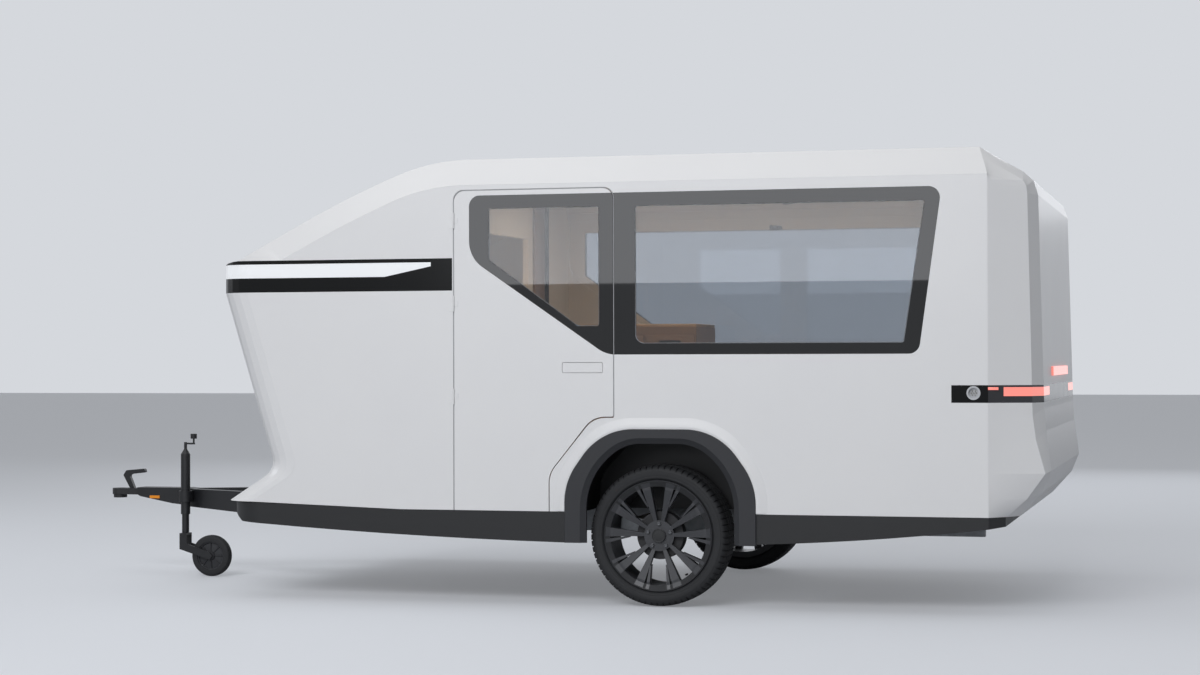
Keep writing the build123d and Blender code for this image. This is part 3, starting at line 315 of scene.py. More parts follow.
dress = {
    # finish: the frame's nodes that have it
    "sprayedWhiteGrp": ("roof", "rear_cap", "nose_panel", "rear_panel", "side_wall_left", "side_wall_right",
                        "door", "door_handle", "door_hinges", "door_knuckles"),
    "pianoBlackAcrylic": ("front_band", "rear_band"),
    "vinylFloor": ("floor_panel",),
    "fritBlackGlass": ("window_frame_left", "window_frame_right", "door_window_frame"),
    "tintedGlass": ("window_pane_left", "window_pane_right", "door_pane"),
    "opalAcrylicLit": ("front_lamp",),
    "redLensLit": ("tail_lamps", "rear_lamp"),
    "amberLens": ("side_reflectors",),
    "paleNylon": ("charging_inlet",),
    "mouldedPolypropylene": ("arch_trims",),
    "mouldedAbs": ("wheel_boxes", "front_skirt", "rear_skirt"),
    "galvanisedSteel": ("chassis_rails", "axle_beam", "swing_arm_left", "swing_arm_right"),
    "powderCoatedSteel": ("drawbar_frame", "jockey_clamp", "jockey_leg", "jockey_tube", "jockey_fork",
                          "coupling_lever", "jockey_crank"),
    "castIron": ("coupling_head", "hub_left", "hub_right"),
    "tyreRubber": ("jockey_wheel", "tyre_left", "tyre_right"),
    "satinLacquerAlloy": ("rim_left", "rim_right"),
    "feltLining": ("front_bulkhead",),
    "oakVeneer": ("bunk_base", "rear_bench"),
    "walnutVeneer": ("kitchen_unit",),
    "bedLinen": ("bunk_mattress", "pillows"),
    "wovenUpholstery": ("seat_cushion", "back_cushions"),
}
for finish, names in dress.items():
    for name in names:
        nodes[name].data.materials.clear()
        nodes[name].data.materials.append(materials[finish])

# Beyond the inlet's black panel the rear band is smoked, so that its lamps show through
bandTail = {"from": 2.302}
nodes["rear_band"].data.materials.append(materials["smokedPolycarbonate"])
for face in nodes["rear_band"].data.polygons:
    if face.center.x > bandTail["from"]:
        face.material_index = 1

# The cabin's side of the shell is lined: faces that look at the cabin get the felt
lined = {
    "middle": (0.1, 0, 1.2), "sideFacing": 0.9, "shellFacing": 0.25,
    "nodes": ("roof", "rear_cap", "nose_panel", "rear_panel", "side_wall_left", "side_wall_right", "door",
              "window_frame_left", "window_frame_right", "door_window_frame", "front_band"),
}
for name in lined["nodes"]:
    mesh = nodes[name].data
    mesh.materials.append(materials["feltLining"])
    for face in mesh.polygons:
        toMiddle = (Vector(lined["middle"]) - face.center).normalized()
        if name.startswith(("side_wall", "door", "window")):
            inside = abs(face.normal.y) > lined["sideFacing"] and face.normal.y * face.center.y < 0
        else:
            inside = face.normal.dot(toMiddle) > lined["shellFacing"]
        if inside:
            face.material_index = len(mesh.materials) - 1
print("nodes dressed")

# The body's sides stand this far out from its middle, in metres
bodyHalf = 1.15
# Edges sharper than these angles stay sharp, in degrees
sharp = {"lip": 20, "machined": 25, "tread": 28, "cast": 30, "plain": 35, "skin": 60, "cord": 80}
meshing = {"weld": 1e-6, "onPlane": 1e-4, "digits": 5, "leastMiter": 0.4, "arcStepMm": 12, "leastArcSteps": 4,
           "leastLength": 1e-9, "bevelSteps": 3, "bevelProfile": 0.5}


def makePiece(name, points, faces, finish, body, slotName, sharpFrom=sharp["plain"]):
    # a new mesh piece, its normals made outward, riding on a body
    mesh = bpy.data.meshes.new(name)
    mesh.from_pydata([tuple(point) for point in points], [], faces)
    shape = bmesh.new()
    shape.from_mesh(mesh)
    bmesh.ops.remove_doubles(shape, verts=shape.verts, dist=meshing["weld"])
    bmesh.ops.recalc_face_normals(shape, faces=shape.faces)
    shape.to_mesh(mesh)
    shape.free()
    for face in mesh.polygons:
        face.use_smooth = True
    mesh.set_sharp_from_angle(angle=math.radians(sharpFrom))
    mesh.materials.append(materials[finish])
    piece = bpy.data.objects.new(name, mesh)
    bpy.context.collection.objects.link(piece)
    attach(piece, body)
    return piece


def skinned(sections, ring=True, closedSections=True):
    # sections of points joined one to the next: the last to the first in a ring, else both ends are capped
    points = [point for section in sections for point in section]
    faces, rows = [], len(sections[0])
    for index in range(len(sections) if ring else len(sections) - 1):
        here, after = index * rows, (index + 1) % len(sections) * rows
        for row in range(rows if closedSections else rows - 1):
            onward = (row + 1) % rows
            faces.append((here + row, after + row, after + onward, here + onward))
    if not ring:
        faces += [tuple(range(rows)), tuple(range(len(points) - rows, len(points)))]
    return points, faces


def spun(rowsAt, angles, centre, closedSections=True):
    # rowsAt gives a column's rows of (radius, offset along Y) in metres, spun about the Y axis through centre
    sections = []
    for column, angle in enumerate(angles):
        sections.append([(centre[0] + radius * math.cos(angle), centre[1] + offset,
                          centre[2] + radius * math.sin(angle)) for radius, offset in rowsAt(column)])
    return skinned(sections, True, closedSections)


def turned(profile, centre, outward, sides):
    # a small turned part: profile of (radius, height) in millimetres along outward Y, capped at both ends
    rows = [(radius / 1000, outward * height / 1000) for radius, height in profile]
    angles = [2 * math.pi * side / sides for side in range(sides)]
    points, faces = spun(lambda column: rows, angles, centre, False)
    for row in (0, len(rows) - 1):
        faces.append(tuple(side * len(rows) + row for side in range(sides)))
    return points, faces


def joined(parts):
    points, faces = [], []
    for partPoints, partFaces in parts:
        start = len(points)
        points += partPoints
        faces += [tuple(start + corner for corner in face) for face in partFaces]
    return points, faces


# Tyres: ribbed tread with four grooves, cut shoulder blocks, a rim protector and a bead, in millimetres
tyre = {
    # blocks round the tyre, and the shares of a block's pitch where its cut starts and that its walls take
    "pitches": 68, "cutStart": 0.78, "wallShare": 0.03,
    # offset from the middle, radius, depth of a cross cut there
    "rows": ((0, 331.3, 0), (7, 331.3, 0), (7.6, 324.5, 0), (14.4, 324.5, 0), (15, 331.2, 3.5),
             (40, 331.0, 3.5), (40.6, 324.0, 0), (49.4, 324.0, 0), (50, 330.6, 0), (58, 330.2, 6.0),
             (74, 329.2, 6.5), (88, 327.0, 6.5), (97, 323.5, 6.0), (103, 318.5, 4.5), (107, 313.0, 2.0),
             (109.2, 307.5, 0), (110.6, 301.5, 0), (111.9, 300.5, 0), (112.3, 292.0, 0), (112.2, 284.0, 0),
             (111.0, 279.0, 0), (111.8, 277.5, 0), (111.0, 271.0, 0), (107.6, 268.0, 0), (104.0, 264.5, 0),
             (99.0, 261.6, 0), (93.0, 241.0, 0)),
}
wheelPlaces = {
    # hand: centre, outward sign, body
    "left": ((0.7625, -0.9775, 0.3315), -1, "wheel_left"),
    "right": ((0.7625, 0.9775, 0.3315), 1, "wheel_right"),
}
tyreRows = [(-offset, radius, cut) for offset, radius, cut in reversed(tyre["rows"][1:])] + list(tyre["rows"])
tyreColumns = []
for pitch in range(tyre["pitches"]):
    for share, isCut in ((0, False), (tyre["cutStart"], False), (tyre["cutStart"] + tyre["wallShare"], True),
                         (1 - tyre["wallShare"], True)):
        tyreColumns.append((2 * math.pi * (pitch + share) / tyre["pitches"], isCut))


def tyreRowsAt(column):
    isCut = tyreColumns[column][1]
    return [((radius - isCut * cut) / 1000, offset / 1000) for offset, radius, cut in tyreRows]


for hand, (centre, _, body) in wheelPlaces.items():
    shape = spun(tyreRowsAt, [angle for angle, _ in tyreColumns], centre)
    piece = makePiece("roadTyre_" + hand, *shape, "tyreRubber", body, "tyre", sharp["tread"])
    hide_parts("tyre_" + hand)


def onWheel(wheel, degrees, radius, out):
    # a point of a wheel: its angle, its radius and how far out it lies from the wheel's middle, in metres
    centre, outward, _ = wheel
    angle = math.radians(degrees)
    return (centre[0] + radius * math.cos(angle), centre[1] + outward * out,
            centre[2] + radius * math.sin(angle))


# Wheel centre: conical-seat bolts, a bare cap with a ring, and the valve; places in metres, profiles in
# millimetres
wheelCentre = {
    "bolts": 5, "firstBolt": 90, "boltCircle": 0.056, "hubOut": 0.0785, "capOut": 0.0865,
    "valveAt": -54, "valveCircle": 0.221, "valveOut": 0.086,
    "boltSides": 6, "capSides": 64, "valveSides": 16,
    "bolt": ((7.9, -6), (7.9, 0.2), (10.6, 0.4), (10.6, 2.2), (9.6, 2.6), (9.6, 9.6), (8.6, 10.8),
             (5.0, 10.8), (4.4, 8.4)),
    "cap": ((32.5, -0.5), (32.6, 1.4), (31.6, 2.6), (29.6, 2.9), (28.6, 2.0), (27.4, 1.8), (20, 2.6),
            (8, 3.0)),
    "valve": ((4.6, -26), (4.6, -8), (3.9, -6), (3.9, 7), (3.2, 9), (1.5, 9.4)),
}
for hand, wheel in wheelPlaces.items():
    outward, body = wheel[1:]
    bolts = []
    for bolt in range(wheelCentre["bolts"]):
        degrees = wheelCentre["firstBolt"] + 360 / wheelCentre["bolts"] * bolt
        place = onWheel(wheel, degrees, wheelCentre["boltCircle"], wheelCentre["hubOut"])
        bolts.append(turned(wheelCentre["bolt"], place, outward, wheelCentre["boltSides"]))
    makePiece("wheelBolts_" + hand, *joined(bolts), "phosphatedSteel", body, "drum_iron", sharp["machined"])
    cap = turned(wheelCentre["cap"], onWheel(wheel, 0, 0, wheelCentre["capOut"]), outward,
                 wheelCentre["capSides"])
    makePiece("wheelCap_" + hand, *cap, "mouldedAbs", body, "alloy_dark", sharp["cast"])
    place = onWheel(wheel, wheelCentre["valveAt"], wheelCentre["valveCircle"], wheelCentre["valveOut"])
    valve = turned(wheelCentre["valve"], place, outward, wheelCentre["valveSides"])
    makePiece("tyreValve_" + hand, *valve, "mouldedAbs", body, "tyre")

# The spokes run out over the rim's face to its bright lip, and between them that face gets the tyre's black
# as painted shadow, in metres
spokeTips = {
    "spokes": 5, "firstSpoke": 90, "thick": 0.0035,
    # radius and distance out of a tip's inner and outer end
    "ends": ((0.228, 0.0990), (0.2530, 0.1082)),
    # shares of a sector's angle at the first and last edge of a spoke and of its branch
    "shares": ((0.125, 0.265), (0.305, 0.360)),
    "shadeFrom": 0.2315, "shadeTo": 0.2560, "shadeOut": 0.094,
    "faces": ((0, 1, 3, 2), (4, 6, 7, 5), (0, 4, 5, 1), (2, 3, 7, 6), (0, 2, 6, 4), (1, 5, 7, 3)),
}
for hand, wheel in wheelPlaces.items():
    centre, outward, body = wheel
    tips = []
    for sector in range(spokeTips["spokes"]):
        for mirror in (-1, 1):
            for shares in spokeTips["shares"]:
                points = []
                for share in shares:
                    degrees = spokeTips["firstSpoke"] + 360 * (sector + mirror * share) / spokeTips["spokes"]
                    for radius, out in spokeTips["ends"]:
                        for depth in (0, spokeTips["thick"]):
                            points.append(onWheel(wheel, degrees, radius, out - depth))
                tips.append((points, spokeTips["faces"]))
    makePiece("spokeTips_" + hand, *joined(tips), "satinLacquerAlloy", body, "alloy_dark", sharp["cast"])
    mesh = nodes["rim_" + hand].data
    mesh.materials.append(materials["tyreRubber"])
    # painted shadow: the rim's outer face between the spokes, near its lip, takes the tyre's black rubber
    for face in mesh.polygons:
        away = math.hypot(face.center.x - centre[0], face.center.z - centre[2])
        if (spokeTips["shadeFrom"] < away < spokeTips["shadeTo"] and
                (face.center.y - centre[1]) * outward > spokeTips["shadeOut"]):
            face.material_index = 1

# Jockey wheel: solid rubber tread with rounded shoulders on a ribbed polypropylene centre, in millimetres
# but for its place
jockey = {
    "centre": (-1.930, -0.112, 0.110), "steps": 96,
    # offset along the axle, radius
    "tread": ((24.5, 76), (24.6, 92), (23.6, 101), (19.5, 106.5), (12, 109.2), (4, 109.9), (3.4, 107.6),
              (-3.4, 107.6), (-4, 109.9), (-12, 109.2), (-19.5, 106.5), (-23.6, 101), (-24.6, 92),
              (-24.5, 76), (-19, 74.5), (19, 74.5)),
    # radius, offset along the axle
    "centreRows": ((8.2, 24.5), (20, 24.5), (22, 22), (24, 15), (66, 12), (70, 19), (75.8, 19.5),
                   (75.8, -19.5), (70, -19), (66, -12), (24, -15), (22, -22), (20, -24.5), (8.2, -24.5)),
    "ribs": 8, "ribSteps": 2, "ribFrom": 23, "ribTo": 68, "ribLift": 5,
}
jockeyAngles = [2 * math.pi * step / jockey["steps"] for step in range(jockey["steps"])]
tread = [(radius / 1000, offset / 1000) for offset, radius in jockey["tread"]]
jockeyTyre = makePiece("jockeyTread", *spun(lambda column: tread, jockeyAngles, jockey["centre"]),
                       "tyreRubber", "jockey_wheel", "jockey_rubber")
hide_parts("jockey_wheel")


def jockeyCentreRows(column):
    # shallow ribs stand up between the hub and the rim
    ribbed = column % (jockey["steps"] // jockey["ribs"]) < jockey["ribSteps"]
    rows = []
    for radius, offset in jockey["centreRows"]:
        lift = jockey["ribLift"] if ribbed and jockey["ribFrom"] < radius < jockey["ribTo"] else 0
        rows.append((radius / 1000, (offset + math.copysign(lift, offset)) / 1000))
    return rows


makePiece("jockeyCentre", *spun(jockeyCentreRows, jockeyAngles, jockey["centre"]),
          "mouldedPolypropylene", "jockey_wheel", "jockey_rubber", sharp["machined"])
print("wheels made")


def linked(pairs):
    # what each end of the pairs is joined to
    links = {}
    for first, second in pairs:
        links.setdefault(first, []).append(second)
        links.setdefault(second, []).append(first)
    return links


def takeLoop(links):
    # follows one closed loop and takes its points out of the links
    here = next(iter(links))
    loop = [here]
    while True:
        onward = [point for point in links.pop(here) if point in links]
        if not onward:
            return loop
        here = onward[0]
        loop.append(here)


def loopLength(loop):
    return sum(math.dist(a, b) for a, b in zip(loop, loop[1:] + loop[:1]))


def faceOutline(node, plane):
    # the longest closed outline, as (x, z) points, of the flat face that lies at y = plane
    mesh = nodes[node].data
    edges = Counter()
    for face in mesh.polygons:
        corners = [mesh.vertices[index].co for index in face.vertices]
        if all(abs(corner.y - plane) < meshing["onPlane"] for corner in corners):
            flat = [tuple(round(at, meshing["digits"]) for at in corner.xz) for corner in corners]
            edges.update(frozenset(pair) for pair in zip(flat, flat[1:] + flat[:1]) if pair[0] != pair[1])
    links = linked(edge for edge, count in edges.items() if count == 1)
    loops = []
    while links:
        loops.append(takeLoop(links))
    return max(loops, key=loopLength)


def offsetOutline(loop, distance, closed=True):
    # outward for a closed loop, and to the right hand of an open path's travel seen from its left end
    area = sum(a[0] * b[1] - b[0] * a[1] for a, b in zip(loop, loop[1:] + loop[:1]))
    turn = 1 if area > 0 else -1
    befores, afters = loop[-1:] + loop[:-1], loop[1:] + loop[:1]
    if not closed:
        befores[0] = tuple(2 * Vector(loop[0]) - Vector(loop[1]))
        afters[-1] = tuple(2 * Vector(loop[-1]) - Vector(loop[-2]))
    result = []
    for before, here, after in zip(befores, loop, afters):
        first = (Vector(here) - Vector(before)).normalized()
        second = (Vector(after) - Vector(here)).normalized()
        normals = [Vector((way.y, -way.x)) * turn for way in (first, second)]
        middle = (normals[0] + normals[1]).normalized()
        miter = max(meshing["leastMiter"], middle.dot(normals[0]))
        result.append(tuple(Vector(here) + middle * distance / miter))
    return result


def stripSections(loop, gap, width, front, back, closed=True):
    # sections of a strip that follows an outline: gap from it to the strip's middle, its width and two depths
    inner = offsetOutline(loop, gap - width / 2, closed)
    outer = offsetOutline(loop, gap + width / 2, closed)
    return [[(a[0], front, a[1]), (b[0], front, b[1]), (b[0], back, b[1]), (a[0], back, a[1])]
            for a, b in zip(inner, outer)]


def roundedPath(corners):
    # an open path through (x, z, rounding) corners in millimetres, each corner an arc; metres out
    path = []
    for index, (x, z, rounding) in enumerate(corners):
        here = Vector((x, z))
        if not rounding:
            path.append(here)
            continue
        toBefore = (Vector(corners[index - 1][:2]) - here).normalized()
        toAfter = (Vector(corners[index + 1][:2]) - here).normalized()
        half = toBefore.angle(toAfter) / 2
        centre = here + (toBefore + toAfter).normalized() * rounding / math.sin(half)
        first = here + toBefore * rounding / math.tan(half) - centre
        last = here + toAfter * rounding / math.tan(half) - centre
        start = math.atan2(first.y, first.x)
        sweep = math.remainder(math.atan2(last.y, last.x) - start, 2 * math.pi)
        steps = max(meshing["leastArcSteps"], round(rounding * abs(sweep) / meshing["arcStepMm"]))
        for step in range(steps + 1):
            angle = start + sweep * step / steps
            path.append(centre + Vector((math.cos(angle), math.sin(angle))) * rounding)
    return [(point.x / 1000, point.y / 1000) for point in path]


def evenly(path, count):
    # the same path with its points at equal spacing
    lengths = [0]
    for first, second in zip(path, path[1:]):
        lengths.append(lengths[-1] + math.dist(first, second))
    result, index = [], 0
    for step in range(count):
        at = lengths[-1] * step / (count - 1)
        while index < len(path) - 2 and lengths[index + 1] < at:
            index += 1
        share = (at - lengths[index]) / max(meshing["leastLength"], lengths[index + 1] - lengths[index])
        result.append(tuple(Vector(path[index]).lerp(Vector(path[index + 1]), min(1, share))))
    return result


def archPath(arch, foot, stations):
    # up from the foot, over the wheel and down again, in millimetres; metres out
    middle, half, crown = arch["middle"], arch["half"], arch["crown"]
    knee, top, kneeRound, crownRound = arch["knee"], arch["top"], arch["kneeRound"], arch["crownRound"]
    path = roundedPath([
        (middle - half, foot, 0), (middle - half, knee, kneeRound), (middle - crown, top, crownRound),
        (middle + crown, top, crownRound), (middle + half, knee, kneeRound), (middle + half, foot, 0)])
    return evenly(path, stations)


# Wheel arches: a moulded trim with a flat face and a chamfered lip, and the body's white shoulder round it;
# outlines and feet in millimetres, depths in metres
arches = {
    "outer": {"middle": 786.5, "half": 456, "top": 832, "knee": 583, "crown": 277, "kneeRound": 306,
              "crownRound": 300},
    "inner": {"middle": 785.5, "half": 353, "top": 764, "knee": 605, "crown": 169, "kneeRound": 330,
              "crownRound": 216},
    "foot": 299, "bodyFoot": 447, "stations": 150, "face": 1.1600, "edge": 0.0025, "lip": 0.027,
    "lipBack": 1.1420, "back": 1.1275, "underSkin": 0.002,
    # how far out from the trim's edge, and how far the white skin stands proud of the wall there
    "shoulder": ((-0.010, 0.0005), (-0.002, 0.0060), (0.004, 0.0078), (0.012, 0.0080), (0.024, 0.0058),
                 (0.038, 0.0026), (0.052, 0.0002)),
}
trimOuter = archPath(arches["outer"], arches["foot"], arches["stations"])
trimInner = archPath(arches["inner"], arches["foot"], arches["stations"])
bodyEdge = archPath(arches["outer"], arches["bodyFoot"], arches["stations"])
shoulderLines = [(offsetOutline(bodyEdge, away, False), proud) for away, proud in arches["shoulder"]]
shoulderLines += [(line, -arches["underSkin"]) for line, _ in (shoulderLines[-1], shoulderLines[0])]
for hand, side in (("left", -1), ("right", 1)):
    sections = []
    for outer, inner in zip(map(Vector, trimOuter), map(Vector, trimInner)):
        inward = (inner - outer).normalized()
        section = [(outer, arches["back"]), (outer, arches["face"] - arches["edge"]),
                   (outer + inward * arches["edge"], arches["face"]),
                   (inner - inward * arches["lip"], arches["face"]), (inner, arches["lipBack"]),
                   (inner, arches["back"])]
        sections.append([(point.x, side * out, point.y) for point, out in section])
    trim = makePiece("archTrim_" + hand, *skinned(sections, False), "mouldedPolypropylene", "root",
                     "arch_grey", sharp["lip"])
    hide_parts("arch_trims")
    sections = [[(line[station][0], side * (bodyHalf + proud), line[station][1])
                 for line, proud in shoulderLines] for station in range(arches["stations"])]
    makePiece("archShoulder_" + hand, *skinned(sections, False), "sprayedWhiteGrp", "root", "body_white",
              sharp["skin"])
print("arches made")

# Seals: a grey strip in the door's gap, and a thin bead round each pane whose mid grey is a painted highlight
# on the glass edge, in metres
seals = {
    # the gap's middle line in millimetres, from the sill up, over and down to the sill behind the arch
    "doorLine": ((-215.5, 450, 0), (-215.5, 1959.5, 47), (569.5, 1959.5, 47), (569.5, 881.5, 0),
                 (471.3, 881.5, 117), (260.0, 619.1, 117), (260.0, 450, 0)),
    "doorWidth": 0.0034, "doorFace": 0.0016, "doorDepth": 0.012,
    "beadGap": -0.0022, "beadWidth": 0.0026, "beadProud": 0.0005, "beadDepth": 0.001,
}
front = -bodyHalf + seals["doorFace"]
sections = stripSections(roundedPath(seals["doorLine"]), 0, seals["doorWidth"], front,
                         front + seals["doorDepth"], False)
makePiece("doorSeal", *skinned(sections, False), "greyEpdmSeal", "root", "body_white")
# the panes' beads: a glazing bead drawn mid grey as a painted highlight along each glass edge
for node, side, body in (("door_pane", -1, "door"), ("window_pane_left", -1, "root"),
                         ("window_pane_right", 1, "root")):
    sections = stripSections(faceOutline(node, side * bodyHalf), seals["beadGap"], seals["beadWidth"],
                             side * (bodyHalf + seals["beadProud"]), side * (bodyHalf - seals["beadDepth"]))
    makePiece("glazingBead_" + node, *skinned(sections), "glazingRubber", body, "window_black")
print("seals made")


def bevelled(shape, edge):
    bmesh.ops.bevel(shape, geom=shape.edges[:], offset=edge, segments=meshing["bevelSteps"], affect="EDGES",
                    profile=meshing["bevelProfile"], clamp_overlap=True)


def roundedBlock(size, place, edge, taper=1.0):
    # a moulded block: bevelled edges, its far end along X tapered
    shape = bmesh.new()
    bmesh.ops.create_cube(shape, size=1)
    for vertex in shape.verts:
        vertex.co *= Vector(size)
        if vertex.co.x > 0:
            vertex.co.z *= taper
    bevelled(shape, edge)
    shape.verts.index_update()
    points = [vertex.co + Vector(place) for vertex in shape.verts]
    faces = [tuple(vertex.index for vertex in face.verts) for face in shape.faces]
    shape.free()
    return points, faces


# Window catches, strip lamp over the bunk with a locker door and a post beside it, side markers, in metres
fittings = {
    # name: size, place, edge, taper, finish, body, slot
    "doorCatch": ((0.058, 0.014, 0.030), (0.446, -1.118, 1.882), 0.005, 0.6,
                  "mouldedAbs", "door", "window_black"),
    "nearCatch": ((0.066, 0.014, 0.034), (1.399, -1.118, 1.880), 0.005, 0.6,
                  "mouldedAbs", "root", "window_black"),
    "farCatch": ((0.070, 0.014, 0.034), (0.908, 1.118, 1.882), 0.005, 0.6,
                 "mouldedAbs", "root", "window_black"),
    "bunkLampStrip": ((0.012, 0.78, 0.018), (-0.325, -0.20, 1.845), 0.003, 1.0,
                      "warmStripLit", "root", "lamp_white"),
    "sideMarkerLeft": ((0.046, 0.0016, 0.012), (2.3225, -1.1500, 1.022), 0.0005, 1.0,
                       "redLensLit", "root", "lamp_red"),
    "sideMarkerRight": ((0.046, 0.0016, 0.012), (2.3225, 1.1500, 1.022), 0.0005, 1.0,
                        "redLensLit", "root", "lamp_red"),
    "lockerDoor": ((0.014, 0.190, 1.42), (-0.279, 0.495, 1.30), 0.003, 1.0,
                   "walnutVeneer", "root", "furniture_wood"),
    "grabPost": ((0.022, 0.022, 1.545), (-0.258, 0.575, 1.262), 0.009, 1.0,
                 "mouldedAbs", "root", "lever_dark"),
}
for name, (size, place, edge, taper, finish, body, slotName) in fittings.items():
    makePiece(name, *roundedBlock(size, place, edge, taper), finish, body, slotName)

# Kitchen unit: an oak worktop and drawer fronts with dark pulls, in metres
kitchen = {
    # size, place, edge
    "top": ((0.846, 0.470, 0.016), (0.137, 0.879, 1.338), 0.004),
    "columns": (-0.144, 0.137, 0.418), "rows": (0.708, 1.100), "edge": 0.002,
    "front": (0.268, 0.012, 0.372), "frontY": 0.634,
    "pull": (0.120, 0.010, 0.014), "pullY": 0.624, "pullUp": 0.150,
}
makePiece("kitchenWorktop", *roundedBlock(*kitchen["top"]), "oakVeneer", "root", "furniture_wood")
fronts, pulls = [], []
for x in kitchen["columns"]:
    for z in kitchen["rows"]:
        fronts.append(roundedBlock(kitchen["front"], (x, kitchen["frontY"], z), kitchen["edge"]))
        pullPlace = (x, kitchen["pullY"], z + kitchen["pullUp"])
        pulls.append(roundedBlock(kitchen["pull"], pullPlace, kitchen["edge"]))
makePiece("kitchenFronts", *joined(fronts), "walnutVeneer", "root", "furniture_wood")
makePiece("kitchenPulls", *joined(pulls), "mouldedAbs", "root", "lever_dark")

# Charging inlet: seven contacts in their socket, in millimetres but for its centre
inlet = {"centre": (2.2355, -1.142, 1.002), "sides": 16, "pin": ((2.6, -4), (2.6, 7), (1.8, 8), (0.6, 8.2)),
         "places": ((0, 0), (11, 0), (-11, 0), (6, -9.5), (-6, -9.5), (7, 9), (-7, 9))}
pins = []
for across, upward in inlet["places"]:
    place = Vector(inlet["centre"]) + Vector((across, 0, upward)) / 1000
    pins.append(turned(inlet["pin"], place, -1, inlet["sides"]))
makePiece("inletPins", *joined(pins), "zincPlatedSteel", "root", "inlet")
print("fittings made")

# Upholstery: each pad starts inside its solid's space, is blown up by a cloth run, and gets its welt
padKinds = {
    # node: finish, fill, pressure, how far a point may swell in metres
    "seat_cushion": ("wovenUpholstery", 0.7, 4.0, 0.014),
    "back_cushions": ("wovenUpholstery", 0.65, 4.0, 0.016),
    "bunk_mattress": ("bedLinen", 0.8, 4.0, 0.014),
    "pillows": ("bedLinen", 0.55, 5.0, 0.022),
}
pads = {
    # name: node, cuts (low, high) along X, Y and Z, voxel, axis across the welt
    "seatPadLeft": ("seat_cushion", ((None, 1.838), (None, 0), None), 0.015, "Z"),
    "seatPadRight": ("seat_cushion", ((None, 1.838), (0, None), None), 0.015, "Z"),
    "seatPadRear": ("seat_cushion", ((1.847, None), None, None), 0.016, "Z"),
    "backPadLeft": ("back_cushions", ((None, 2.1), (None, 0), None), 0.012, "Y"),
    "backPadRight": ("back_cushions", ((None, 2.1), (0, None), None), 0.012, "Y"),
    "backPadRearLow": ("back_cushions", ((2.1, None), None, (None, 1.072)), 0.011, "X"),
    "backPadRearHigh": ("back_cushions", ((2.1, None), None, (1.076, None)), 0.011, "X"),
    "bunkMattress": ("bunk_mattress", (None, None, None), 0.018, "Z"),
    "pillowLeft": ("pillows", (None, (None, 0), None), 0.010, "Z"),
    "pillowRight": ("pillows", (None, (0, None), None), 0.010, "Z"),
}
padShape = {"weld": 1e-5, "inset": 0.009, "edge": 0.022, "slack": 0.0008, "frames": 20,
            "weltRadius": 0.0035, "weltShare": 0.5, "weltSides": 6}


def planeCut(shape, axis, at, sign, clear=False):
    # cuts across an axis; with clear, what lies beyond on the signed side goes
    point, normal = Vector((0, 0, 0)), Vector((0, 0, 0))
    point[axis], normal[axis] = at, sign
    whole = shape.verts[:] + shape.edges[:] + shape.faces[:]
    return bmesh.ops.bisect_plane(shape, geom=whole, plane_co=point, plane_no=normal, clear_outer=clear)


def cutShape(node, cuts):
    # the solid's own mesh, welded and cut down to one pad
    shape = bmesh.new()
    shape.from_mesh(nodes[node].data)
    bmesh.ops.remove_doubles(shape, verts=shape.verts, dist=padShape["weld"])
    for axis, cut in enumerate(cuts):
        for end, at in enumerate(cut or ()):
            if at is not None:
                planeCut(shape, axis, at, 1 if end else -1, True)
                bmesh.ops.holes_fill(shape, edges=[edge for edge in shape.edges if edge.is_boundary])
    return shape


def bakedMesh(piece):
    depsgraph = bpy.context.evaluated_depsgraph_get()
    return bpy.data.meshes.new_from_object(piece.evaluated_get(depsgraph))


def weltAt(mesh, low, high, axis):
    # the contour of the finished pad where its two panels are sewn, as a thin piped tube
    shape = bmesh.new()
    shape.from_mesh(mesh)
    at = low[axis] + (high[axis] - low[axis]) * padShape["weltShare"]
    cut = planeCut(shape, axis, at, 1)
    loop = takeLoop(linked(item.verts for item in cut["geom_cut"] if isinstance(item, bmesh.types.BMEdge)))
    places = [vertex.co.copy() for vertex in loop]
    shape.free()
    normal = Vector((0, 0, 0))
    normal[axis] = 1
    angles = [2 * math.pi * side / padShape["weltSides"] for side in range(padShape["weltSides"])]
    radius, sections = padShape["weltRadius"], []
    for index, place in enumerate(places):
        along = places[(index + 1) % len(places)] - places[index - 1]
        across = along.cross(normal).normalized()
        sections.append([place + (across * math.cos(angle) + normal * math.sin(angle)) * radius
                         for angle in angles])
    return skinned(sections)


